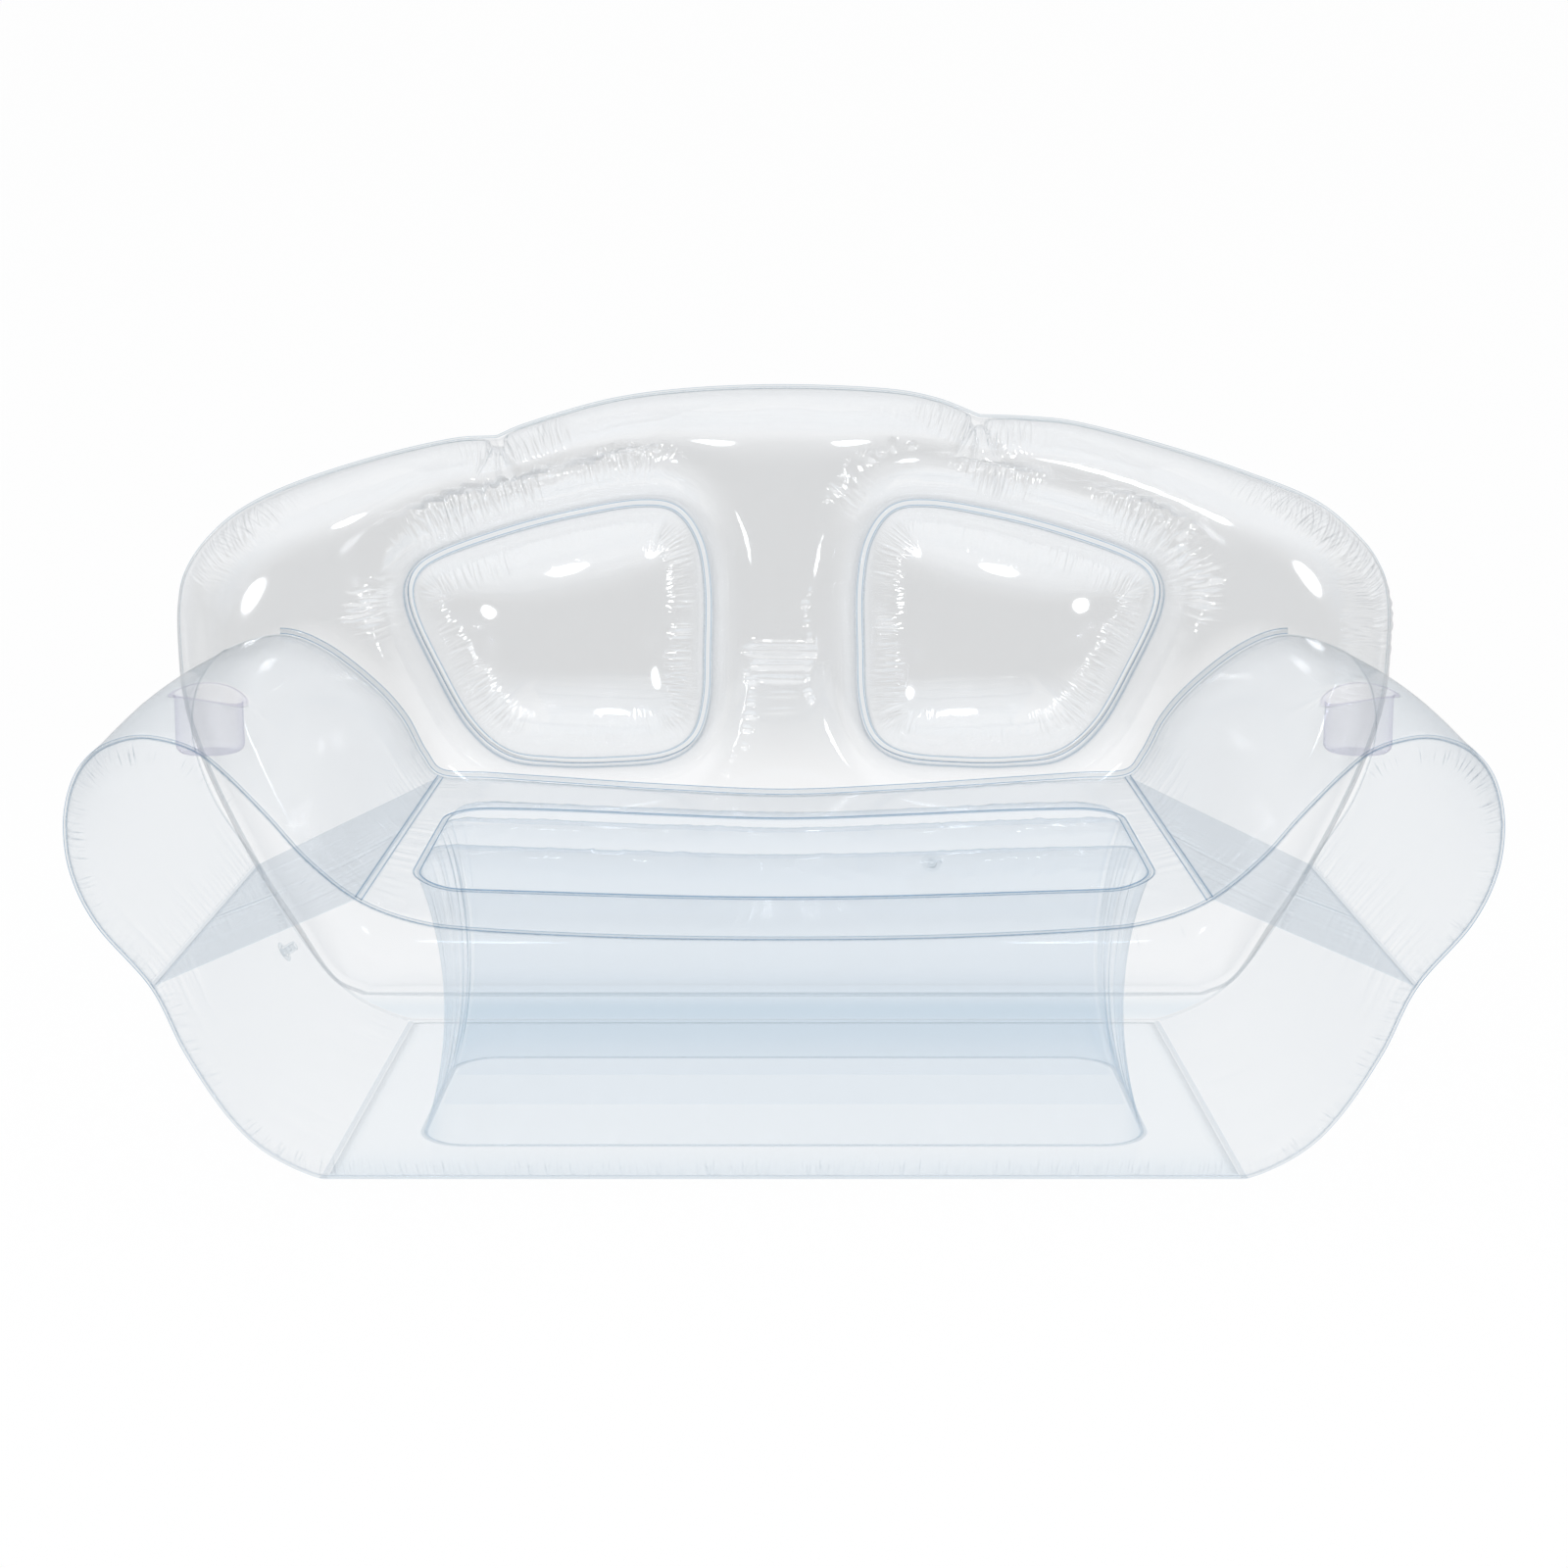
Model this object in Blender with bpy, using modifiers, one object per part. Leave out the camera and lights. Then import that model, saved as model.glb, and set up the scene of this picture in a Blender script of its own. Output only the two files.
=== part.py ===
"""Two-seat inflatable sofa in clear film, modelled as its separate film panels, webs, welds and valves.

Lengths are in metres, +Z is up, the sofa faces -Y and the origin is on the floor under the middle of its
bounding box. The base chamber is an extrusion between a front and a rear seam, and the backrest is a
two-sheet chamber behind it with two welded-in pillows.
"""

import math

import bmesh
import bpy
import numpy as np
from mathutils import Matrix, Vector
from mathutils.geometry import delaunay_2d_cdt

# Film, welds and fits
FILM = 0.0004
FIT_GAP = 0.0003
SEAM_RADIUS = 0.0016
WELD_WIDTH = 0.008
WELD_THICKNESS = 0.0008

# Base chamber, front to back
FRONT_CROWN = 0.020
FRONT_REACH = 0.130
REAR_REACH = 0.030
BASE_DEPTH = 0.605

# Seat insert and the box baffle under it
INSERT_WIDTH = 0.828
INSERT_FRONT_SETBACK = 0.105
INSERT_DEPTH = 0.332
INSERT_CORNER_RADIUS = 0.055
CHANNEL_CROWN = 0.014
CHANNEL_END_REACH = 0.050
BAFFLE_NECK = 0.026
RIB_DEPTH_SHARES = (0.440, 0.795)

# Seat: its margin beside the insert up to the arm crease, heights of the seams at the middle and rise to
# the creases
SEAT_SIDE_MARGIN = 0.038
SEAT_HEIGHT_FRONT = 0.269
SEAT_HEIGHT_REAR = 0.307
CREASE_RISE_FRONT = 0.043
CREASE_RISE_REAR = 0.027
SEAT_CROWN = 0.016

# Arms: how far they reach out from the crease and heights of their tops, at the front and rear seams
ARM_REACH_FRONT = 0.306
ARM_REACH_REAR = 0.324
ARM_HEIGHT_FRONT = 0.486
ARM_HEIGHT_REAR = 0.520
ARM_CROWN = 0.010

# Waist, where the arm webs end on the outer sides, as far out from the crease
WAIST_REACH_FRONT = 0.223
WAIST_REACH_REAR = 0.245
WAIST_HEIGHT = 0.215
WEB_SAG = 0.006
WEB_CLEARANCE = 0.0012

# Floor contact, which reaches this far out from under the crease
FLOOR_REACH = 0.048

# Cup holders in the arm tops
CUP_DIAMETER = 0.076
CUP_DEPTH = 0.056
CUP_REACH = 0.200
CUP_SETBACK = 0.205
CUP_RIM_WIDTH = 0.006
CUP_FILLET = 0.010

# Backrest, which overhangs the arms at each side
BACK_OVERHANG = 0.040
BACK_HEIGHT = 0.841
BACK_HALF_THICKNESS = 0.108
BACK_SWELL_REACH = 0.095
BACK_FLOOR_CLEARANCE = 0.002
PILLOW_HALF_THICKNESS = 0.062
PILLOW_SWELL_REACH = 0.110

# Inflation valves
VALVE_FLANGE_DIAMETER = 0.028
VALVE_FLANGE_THICKNESS = 0.0012
VALVE_STEM_DIAMETER = 0.013
VALVE_BORE_DIAMETER = 0.0085
VALVE_STEM_LENGTH = 0.016
VALVE_PLUG_DIAMETER = 0.0078
VALVE_PLUG_LENGTH = 0.010
VALVE_HEAD_DIAMETER = 0.012
VALVE_HEAD_THICKNESS = 0.0022
VALVE_STRAP_WIDTH = 0.004
VALVE_STRAP_THICKNESS = 0.0010
BACK_VALVE_X = 0.210
BACK_VALVE_HEIGHT = 0.170
BASE_VALVE_REAR_SETBACK = 0.085
BASE_VALVE_DROP = 0.105

# Outlines of the arm, from the seat crease over the top to the waist: shares of the way from the crease
# to the widest point, and of the height from the waist to the arm's top
ARM_FRONT_SHARES = (
    (0.167, 0.514), (0.297, 0.685), (0.435, 0.852), (0.546, 0.953), (0.696, 1.000), (0.810, 0.983),
    (0.899, 0.926), (0.965, 0.820), (1.000, 0.655), (0.985, 0.455), (0.905, 0.250),
)
ARM_REAR_SHARES = (
    (0.079, 0.485), (0.154, 0.640), (0.269, 0.782), (0.461, 0.941), (0.636, 1.000), (0.849, 0.935),
    (0.940, 0.840), (0.985, 0.730), (1.000, 0.590), (0.975, 0.440), (0.905, 0.250),
)
# Lower outer side, from the waist to the floor: shares of the way in from the waist to the floor's edge,
# and of the waist's height
SIDE_SHARES = ((0.190, 0.655), (0.430, 0.330), (0.670, 0.130))
# Seat cross-section: share of the half width, and share of the rise to the crease
SEAT_FRONT_SHARES = ((0.37, 0.05), (0.72, 0.23), (0.87, 0.45))
SEAT_REAR_SHARES = ((0.34, 0.24), (0.68, 0.62), (0.85, 0.82))

# Backrest outline seen from the front, as shares of its half width and height: three lobes that meet in
# two shallow notches, then both flanks down to the floor
BACK_LEFT_LOBE_SHARES = (
    (-0.710, 0.004), (-0.766, 0.034), (-0.826, 0.128), (-0.885, 0.225), (-0.955, 0.372), (-0.992, 0.490),
    (-1.000, 0.600), (-0.996, 0.665), (-0.981, 0.711), (-0.945, 0.759), (-0.888, 0.805), (-0.802, 0.845),
    (-0.672, 0.886), (-0.543, 0.915), (-0.468, 0.920),
)
BACK_CENTRE_LOBE_SHARES = (
    (-0.468, 0.920), (-0.415, 0.941), (-0.286, 0.977), (-0.159, 0.994), (0.000, 1.000), (0.159, 0.994),
    (0.245, 0.980), (0.318, 0.953),
)
BACK_RIGHT_LOBE_SHARES = (
    (0.318, 0.953), (0.400, 0.950), (0.479, 0.941), (0.608, 0.909), (0.738, 0.869), (0.868, 0.819),
    (0.945, 0.759), (0.981, 0.711), (0.996, 0.665), (1.000, 0.600), (0.992, 0.490), (0.955, 0.372),
    (0.885, 0.225), (0.826, 0.128), (0.766, 0.034), (0.710, 0.004),
)
# Pillow outline on the right, as shares of the backrest's half width and height
PILLOW_SHARES = (
    (0.125, 0.680), (0.126, 0.585), (0.130, 0.500), (0.150, 0.440), (0.200, 0.409), (0.290, 0.400),
    (0.380, 0.400), (0.460, 0.412), (0.520, 0.462), (0.570, 0.550), (0.612, 0.645), (0.608, 0.700),
    (0.560, 0.735), (0.440, 0.775), (0.330, 0.801), (0.235, 0.815), (0.175, 0.805), (0.138, 0.755),
)

# Mesh fineness
SEAT_STEPS = 8
ARM_STEPS = 18
SIDE_STEPS = 6
LOBE_STEPS = 18
PILLOW_STEPS = 28
CORNER_STEPS = 5
CUP_STEPS = 18
VALVE_STEPS = 12
DEPTH_STEPS = 5
FOOT_STEPS = 8
NECK_STEPS = 3
WEB_COLUMNS = 3
SHARE_TRIES = 100
CURVE_TRIES = 12
FILM_SPACING = 0.075
ARM_SPACING = 0.060
SIDE_SPACING = 0.060
RIM_ROWS = (0.012, 0.040)
ROW_SHARE = 0.55
MERGE = 1e-7
CHANNEL_ROW_SHARES = (0.0, 0.06, 0.25, 0.50, 0.75, 0.94)
CHANNEL_COLUMN_SHARES = (-1.0, -0.985, -0.94, -0.87, -0.45, 0.0, 0.45, 0.87, 0.94, 0.985, 1.0)
CUP_FILLET_SHARES = ((0.0, 1.0), (0.3, 0.3), (1.0, 0.0))
SHARPEST_TURN_SHARE = 0.5
SMALLEST_RUN = 1e-12

# Film colours
COOL_FILM = (0.86, 0.91, 0.95)
BLUE_FILM = (0.74, 0.84, 0.94)
GREY_FILM = (0.84, 0.86, 0.88)
LILAC_FILM = (0.78, 0.77, 0.88)
BLUE_WELD = (0.55, 0.68, 0.80)
GREY_WELD = (0.62, 0.70, 0.76)
VALVE_PLASTIC = (0.80, 0.85, 0.90)

# Places worked out from the sizes above
CREASE_X = INSERT_WIDTH / 2 + SEAT_SIDE_MARGIN
FLOOR_X = CREASE_X + FLOOR_REACH
CUP_X = CREASE_X + CUP_REACH
BACK_X = CREASE_X + ARM_REACH_REAR + BACK_OVERHANG
SEAM_REACH = SEAM_RADIUS + FIT_GAP
VALVE_STAND = 2 * FIT_GAP + VALVE_FLANGE_THICKNESS + VALVE_HEAD_THICKNESS
TOTAL_DEPTH = (
    FRONT_CROWN + BASE_DEPTH + SEAM_REACH + 2 * BACK_HALF_THICKNESS + 1.5 * FILM + VALVE_STAND
)
FRONT_SEAM_Y = -TOTAL_DEPTH / 2 + FRONT_CROWN + FILM / 2
REAR_SEAM_Y = FRONT_SEAM_Y + BASE_DEPTH
BACK_SEAM_Y = REAR_SEAM_Y + SEAM_REACH + FILM / 2 + BACK_HALF_THICKNESS
SEAM_FLOOR = SEAM_RADIUS
STRIP_HALF = WELD_WIDTH / 2
SHEET_EDGE = (FILM + FIT_GAP) / 2
VALVE_HOLE_RADIUS = (VALVE_STEM_DIAMETER / 2 + 2 * FIT_GAP) / math.cos(math.pi / VALVE_STEPS)


def smooth_run(controls, steps, before=None, after=None):
    """Points at equal spacing along a Catmull-Rom curve through the controls, ends included."""
    points = [Vector(p) for p in controls]
    points.insert(0, Vector(before) if before else 2 * points[0] - points[1])
    points.append(Vector(after) if after else 2 * points[-1] - points[-2])
    fine = []
    for a, b, c, d in zip(points, points[1:], points[2:], points[3:]):
        for i in range(CURVE_TRIES):
            t = i / CURVE_TRIES
            fine.append(
                0.5 * (2 * b + (c - a) * t + (2 * a - 5 * b + 4 * c - d) * t**2 + (3 * b - a - 3 * c + d) * t**3)
            )
    fine.append(points[-2])
    fine = np.array(fine)
    walked = np.concatenate([[0], np.cumsum(np.linalg.norm(np.diff(fine, axis=0), axis=1))])
    at = np.linspace(0, walked[-1], steps + 1)
    return np.stack([np.interp(at, walked, fine[:, k]) for k in range(fine.shape[1])], axis=1)


def smooth_loop(controls, steps):
    """The same on a closed curve, with the first point not repeated."""
    closed = list(controls) + [controls[0]]
    return smooth_run(closed, steps, before=controls[-1], after=controls[1])[:-1]


def inset(loop, distance):
    """A closed loop, anticlockwise, moved inwards by a distance along the normal at each vertex."""
    before = loop - np.roll(loop, 1, axis=0)
    after = np.roll(loop, -1, axis=0) - loop
    along = before / np.linalg.norm(before, axis=1)[:, None] + after / np.linalg.norm(after, axis=1)[:, None]
    inward = np.stack([-along[:, 1], along[:, 0]], axis=1)
    inward /= np.linalg.norm(inward, axis=1)[:, None]
    across = np.stack([-before[:, 1], before[:, 0]], axis=1) / np.linalg.norm(before, axis=1)[:, None]
    turn = np.clip(np.sum(inward * across, axis=1), SHARPEST_TURN_SHARE, 1)
    return loop + inward * (distance / turn)[:, None]


def is_inside(points, loop):
    """For each point, whether a closed loop holds it."""
    x, y = points[:, 0, None], points[:, 1, None]
    ax, ay = loop[:, 0], loop[:, 1]
    bx, by = np.roll(ax, -1), np.roll(ay, -1)
    crosses = (ay > y) != (by > y)
    rise = np.where(by == ay, 1, by - ay)
    return (crosses & (x < (bx - ax) * (y - ay) / rise + ax)).sum(axis=1) % 2 == 1


def distance_to(points, loops):
    """For each point, its distance to the nearest of several closed loops."""
    best = np.full(len(points), np.inf)
    for loop in loops:
        a, b = loop, np.roll(loop, -1, axis=0)
        run = b - a
        share = np.einsum("pij,ij->pi", points[:, None] - a, run) / np.maximum((run**2).sum(axis=1), SMALLEST_RUN)
        near = a + np.clip(share, 0, 1)[:, :, None] * run
        best = np.minimum(best, np.linalg.norm(points[:, None] - near, axis=2).min(axis=1))
    return best


def triangulate(outline, holes=(), spacing=FILM_SPACING, rows=RIM_ROWS):
    """Points and triangles that fill an outline round its holes, finer in rows along the edges."""
    loops = [outline, *holes]
    low, high = outline.min(axis=0), outline.max(axis=0)
    columns = np.arange(low[0] + spacing / 2, high[0], spacing)
    levels = np.arange(low[1] + spacing / 2, high[1], spacing * math.sqrt(3) / 2)
    grid = [(x + (spacing / 2 if k % 2 else 0), y) for k, y in enumerate(levels) for x in columns]
    groups = [(np.array(grid).reshape(-1, 2), max(rows, default=0) + spacing / 3)]
    for row in rows:
        groups += [(inset(loop, row if loop is outline else -row), row * ROW_SHARE) for loop in loops]
    points = list(loops)
    for group, clear in groups:
        good = is_inside(group, outline) & (distance_to(group, loops) > clear)
        for hole in holes:
            good &= ~is_inside(group, hole)
        points.append(group[good])
    edges, first = [], 0
    for loop in loops:
        edges += [(first + i, first + (i + 1) % len(loop)) for i in range(len(loop))]
        first += len(loop)
    found = delaunay_2d_cdt([Vector(p) for p in np.concatenate(points)], edges, [], 0, MERGE)
    flat = np.array([list(v) for v in found[0]])
    faces = np.array(found[2])
    middles = flat[faces].mean(axis=1)
    good = is_inside(middles, outline)
    for hole in holes:
        good &= ~is_inside(middles, hole)
    return flat, faces[good].tolist()


def swell(points, loops, height, reach):
    """How far an inflated sheet stands out at each point: round from its welds, flat past the reach."""
    share = np.clip(distance_to(points, loops) / reach, 0, 1)
    return height * np.sqrt(1 - (1 - share) ** 2)


def clear_film(name, colour, alpha, roughness):
    """A clear film material."""
    material = bpy.data.materials.new(name)
    material.use_nodes = True
    shader = material.node_tree.nodes["Principled BSDF"]
    shader.inputs["Base Color"].default_value = (*colour, 1)
    shader.inputs["Roughness"].default_value = roughness
    shader.inputs["Metallic"].default_value = 0
    shader.inputs["IOR"].default_value = 1.5
    shader.inputs["Alpha"].default_value = alpha
    return material


class Sofa:
    """Adds the named objects to the sofa's collection."""

    def __init__(self, collection):
        self.collection = collection

    def place(self, name, mesh, colour, alpha=0.35, roughness=0.08):
        mesh.shade_smooth()
        mesh.set_sharp_from_angle(angle=math.radians(40))
        mesh.materials.append(clear_film(name, colour, alpha, roughness))
        obj = bpy.data.objects.new(name, mesh)
        self.collection.objects.link(obj)
        return obj

    def sheet(self, name, points, faces, colour, thickness=FILM, **look):
        """A piece of film: an open surface given its thickness, half to each side."""
        mesh = bpy.data.meshes.new(name)
        mesh.from_pydata([tuple(p) for p in points], [], [tuple(f) for f in faces])
        used = {i for f in faces for i in f}
        assert len(used) == len(points), name
        obj = self.place(name, mesh, colour, **look)
        film = obj.modifiers.new("Film", "SOLIDIFY")
        film.thickness = thickness
        film.offset = 0
        return obj

    def loft(self, name, sections, colour, closed=False, **look):
        """A sheet through like sections, each a run of as many points."""
        rows, columns = len(sections), len(sections[0])
        last = columns if closed else columns - 1
        faces = [
            (r * columns + c, r * columns + (c + 1) % columns,
             (r + 1) * columns + (c + 1) % columns, (r + 1) * columns + c)
            for r in range(rows - 1) for c in range(last)
        ]
        return self.sheet(name, np.concatenate(sections), faces, colour, **look)

    def seam(self, name, loop, y, colour, **look):
        """A welded seam: a fine bead along a closed loop in an upright plane."""
        curve = bpy.data.curves.new(name, "CURVE")
        curve.dimensions = "3D"
        curve.bevel_depth = SEAM_RADIUS
        curve.bevel_resolution = 1
        spline = curve.splines.new("POLY")
        spline.points.add(len(loop) - 1)
        for point, (x, z) in zip(spline.points, loop):
            point.co = (x, y, z, 1)
        spline.use_cyclic_u = True
        curve.materials.append(clear_film(name, colour, **look))
        obj = bpy.data.objects.new(name, curve)
        self.collection.objects.link(obj)
        return obj


def mirrored(points):
    """The same points on the other side of the sofa's middle plane."""
    flipped = np.array(points, dtype=float)
    flipped[:, 0] *= -1
    return flipped


class Section:
    """Right half of the base chamber's outline at one seam, from the seat's middle round the arm to the floor."""

    def __init__(self, seat_height, crease_rise, seat_shares, arm_reach, arm_height, arm_shares, waist_reach):
        arm_rise = arm_height - WAIST_HEIGHT
        self.seat = [(0, seat_height)]
        self.seat += [(CREASE_X * x, seat_height + crease_rise * z) for x, z in seat_shares]
        self.seat.append((CREASE_X, seat_height + crease_rise))
        self.arm = [self.seat[-1]]
        self.arm += [(CREASE_X + arm_reach * x, WAIST_HEIGHT + arm_rise * z) for x, z in arm_shares]
        self.arm.append((CREASE_X + waist_reach, WAIST_HEIGHT))
        self.inwards = FLOOR_REACH - waist_reach

    def side(self, floor):
        waist_x, waist_z = self.arm[-1]
        low = [(waist_x + self.inwards * x, floor + (waist_z - floor) * z) for x, z in SIDE_SHARES]
        return [self.arm[-1], *low, (FLOOR_X, floor)]

    def seat_run(self):
        inner_x, inner_z = self.seat[1]
        return smooth_run(self.seat, SEAT_STEPS, before=(-inner_x, inner_z), after=self.arm[1])

    def arm_run(self, steps=ARM_STEPS):
        return smooth_run(self.arm, steps, before=self.seat[-2], after=self.side(0)[1])

    def side_run(self, floor, steps=SIDE_STEPS):
        return smooth_run(self.side(floor), steps, before=self.arm[-2], after=(0, floor))

    def loop(self):
        """The whole seam, anticlockwise seen from the front."""
        floor_x = np.linspace(FLOOR_X, 0, CORNER_STEPS + 1)[1:]
        floor = np.stack([floor_x, np.full(CORNER_STEPS, SEAM_FLOOR)], axis=1)
        right = np.concatenate([self.seat_run(), self.arm_run()[1:], self.side_run(SEAM_FLOOR)[1:], floor])
        return np.concatenate([right, mirrored(right)[-2:0:-1]])[::-1]


FRONT = Section(SEAT_HEIGHT_FRONT, CREASE_RISE_FRONT, SEAT_FRONT_SHARES,
                ARM_REACH_FRONT, ARM_HEIGHT_FRONT, ARM_FRONT_SHARES, WAIST_REACH_FRONT)
REAR = Section(SEAT_HEIGHT_REAR, CREASE_RISE_REAR, SEAT_REAR_SHARES,
               ARM_REACH_REAR, ARM_HEIGHT_REAR, ARM_REAR_SHARES, WAIST_REACH_REAR)
SKIN_FRONT_Y = FRONT_SEAM_Y + SEAM_REACH
SKIN_REAR_Y = REAR_SEAM_Y - SEAM_REACH
SKIN_DEPTH = SKIN_REAR_Y - SKIN_FRONT_Y
BASE_VALVE_Y = SKIN_DEPTH - BASE_VALVE_REAR_SETBACK


SEAT_FRONT_RUN, SEAT_REAR_RUN = FRONT.seat_run(), REAR.seat_run()


def share_back(y):
    """How far back places lie on the base's films, as a share."""
    return (np.asarray(y) - SKIN_FRONT_Y) / SKIN_DEPTH


class Skin:
    """A film ruled from a run on the front seam to one on the rear seam, swollen between its welds."""

    def __init__(self, front, rear, crown):
        self.front, self.rear, self.crown = front, rear, crown
        runs = [np.linalg.norm(np.diff(run, axis=0), axis=1).sum() for run in (front, rear)]
        self.length = sum(runs) / 2

    def ruled(self, along, back):
        index = np.arange(len(self.front))
        at = np.clip(along, 0, 1) * index[-1]
        ends = [[np.interp(at, index, run[:, k]) for k in (0, 1)] for run in (self.front, self.rear)]
        return np.stack([f + (r - f) * back for f, r in zip(*ends)], axis=1)

    def at(self, along, back):
        """Points at shares of the way along the runs and back from the front."""
        along, back = np.broadcast_arrays(np.atleast_1d(along).astype(float), back)
        step = 1 / len(self.front)
        run = self.ruled(along + step, back) - self.ruled(along - step, back)
        out = np.stack([-run[:, 1], run[:, 0]], axis=1) / np.linalg.norm(run, axis=1)[:, None]
        held = np.sin(math.pi * np.clip(along, 0, 1)) * np.sin(math.pi * back)
        flat = self.ruled(along, back) + out * (self.crown * held)[:, None]
        return np.stack([flat[:, 0], SKIN_FRONT_Y + SKIN_DEPTH * back, flat[:, 1]], axis=1)

    def share(self, distance):
        return distance / self.length

    def share_at_x(self, x, back):
        """Shares along the run where its upper side passes over given places."""
        tries = np.linspace(0, 1, SHARE_TRIES)
        found = []
        for place, depth in zip(x, back):
            across = self.at(tries, depth)[:, 0]
            rising = int(np.argmax(across))
            found.append(np.interp(place, across[:rising], tries[:rising]))
        return np.array(found)


ARM_SKIN = Skin(FRONT.arm_run(), REAR.arm_run(), ARM_CROWN)
SIDE_SKIN = Skin(FRONT.side_run(FILM / 2), REAR.side_run(FILM / 2), ARM_CROWN / 2)


def seat_height(x, y):
    """Height of the seat film over places on the floor plan."""
    front, rear = SEAT_FRONT_RUN, SEAT_REAR_RUN
    back = share_back(y)
    across = np.abs(x)
    ruled = np.interp(across, front[:, 0], front[:, 1]) * (1 - back)
    ruled += np.interp(across, rear[:, 0], rear[:, 1]) * back
    held = np.sqrt(np.clip(4 * back * (1 - back), 0, 1)) * (1 - (across / CREASE_X) ** 4)
    return ruled + SEAT_CROWN * held


def lift(plan, height):
    """Plan points raised to given heights."""
    return np.column_stack([plan, np.broadcast_to(height, len(plan))])


def rectangle(low, high, spacing):
    """Points round a rectangle, anticlockwise, at about an even spacing."""
    corners = [np.array(c) for c in ((low[0], low[1]), (high[0], low[1]), (high[0], high[1]), (low[0], high[1]))]
    points = []
    for a, b in zip(corners, corners[1:] + corners[:1]):
        count = max(1, round(np.linalg.norm(b - a) / spacing))
        points += [a + (b - a) * i / count for i in range(count)]
    return np.array(points)


def insert_loop(outset):
    """The seat insert's rounded rectangle on the floor plan, moved outwards by a distance."""
    half_width, half_depth = INSERT_WIDTH / 2 + outset, INSERT_DEPTH / 2 + outset
    radius = INSERT_CORNER_RADIUS + outset
    middle_y = FRONT_SEAM_Y + INSERT_FRONT_SETBACK + INSERT_DEPTH / 2
    points = []
    for quarter in range(4):
        centre = np.array([half_width - radius, half_depth - radius]) * (
            (1, 1), (-1, 1), (-1, -1), (1, -1))[quarter]
        for i in range(CORNER_STEPS + 1):
            turn = math.pi / 2 * (quarter + i / CORNER_STEPS)
            points.append(centre + radius * np.array([math.cos(turn), math.sin(turn)]))
        if quarter in (0, 2):
            span = 2 * (half_width - radius) * (-1 if quarter == 0 else 1)
            last = points[-1]
            points += [last + np.array([span * i / CORNER_STEPS, 0]) for i in range(1, CORNER_STEPS)]
    return np.array(points) + np.array([0, middle_y])


def section_rows(rows, points_of):
    """Sections of a sheet, worked out at evenly spaced shares from 0 to 1."""
    return [points_of(share) for share in np.linspace(0, 1, rows + 1)]


def ring_of(radius, middle, steps):
    """A circle in a plane, anticlockwise."""
    turns = 2 * math.pi * np.arange(steps) / steps
    return np.array(middle) + radius * np.column_stack([np.cos(turns), np.sin(turns)])


def add_base_seams(sofa):
    """The two beads that join the base's panels to its skins."""
    for name, section, y in (("front_seam", FRONT, FRONT_SEAM_Y), ("rear_seam", REAR, REAR_SEAM_Y)):
        sofa.seam(name, section.loop(), y, BLUE_WELD, alpha=0.6, roughness=0.15)


def add_base_panels(sofa):
    """The crowned front panel and the flat rear panel that the backrest lies against."""
    for name, section, y, height, reach in (
        ("front_panel", FRONT, FRONT_SEAM_Y, -FRONT_CROWN, FRONT_REACH),
        ("rear_panel", REAR, REAR_SEAM_Y, SEAM_RADIUS - FILM / 2, REAR_REACH),
    ):
        outline = inset(section.loop(), SEAM_REACH)
        flat, faces = triangulate(outline, rows=RIM_ROWS[-1:])
        stand = swell(flat, [outline], height, reach)
        sofa.sheet(name, np.column_stack([flat[:, 0], y + stand, flat[:, 1]]), faces, COOL_FILM)


def add_seat(sofa):
    """The film round the seat insert and the ring weld that holds the insert in it."""
    edge = CREASE_X - STRIP_HALF - FIT_GAP
    outline = rectangle((-edge, SKIN_FRONT_Y), (edge, SKIN_REAR_Y), FILM_SPACING)
    hole = insert_loop(STRIP_HALF + FIT_GAP)
    flat, faces = triangulate(outline, [hole], rows=())
    sofa.sheet("seat_film", lift(flat, seat_height(*flat.T)), faces, COOL_FILM)
    ring = [insert_loop(outset) for outset in (-STRIP_HALF, STRIP_HALF)]
    sofa.loft("seat_ring_weld", [lift(loop, seat_height(*loop.T)) for loop in ring], BLUE_WELD,
              closed=True, thickness=WELD_THICKNESS, alpha=0.6)


def insert_row(share):
    """Half width and place front to back of the insert's film at a share of its depth."""
    facet = INSERT_CORNER_RADIUS * (1 - math.cos(math.pi / 4 / CORNER_STEPS))
    reach_in = STRIP_HALF + FIT_GAP + facet
    radius = INSERT_CORNER_RADIUS - reach_in
    depth = INSERT_DEPTH - 2 * reach_in
    corner = max(radius - min(share, 1 - share) * depth, 0)
    half = INSERT_WIDTH / 2 - reach_in - radius + math.sqrt(radius**2 - corner**2)
    return half, FRONT_SEAM_Y + INSERT_FRONT_SETBACK + reach_in + depth * share


def add_seat_insert(sofa):
    """Three channels side to side, drawn down at the two rib welds."""
    welds = [0, *RIB_DEPTH_SHARES, 1]
    rows = []
    for a, b in zip(welds, welds[1:]):
        rows += [(a + (b - a) * t, math.sqrt(4 * t * (1 - t))) for t in CHANNEL_ROW_SHARES]
    rows.append((1, 0))
    sections = []
    for share, crown in rows:
        half, y = insert_row(share)
        x = half * np.array(CHANNEL_COLUMN_SHARES)
        end = np.clip((half - np.abs(x)) / CHANNEL_END_REACH, 0, 1)
        z = seat_height(x, y) + CHANNEL_CROWN * crown * np.sqrt(1 - (1 - end) ** 2)
        sections.append(np.column_stack([x, np.full(len(x), y), z]))
    sofa.loft("seat_insert", sections, BLUE_FILM)


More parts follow.
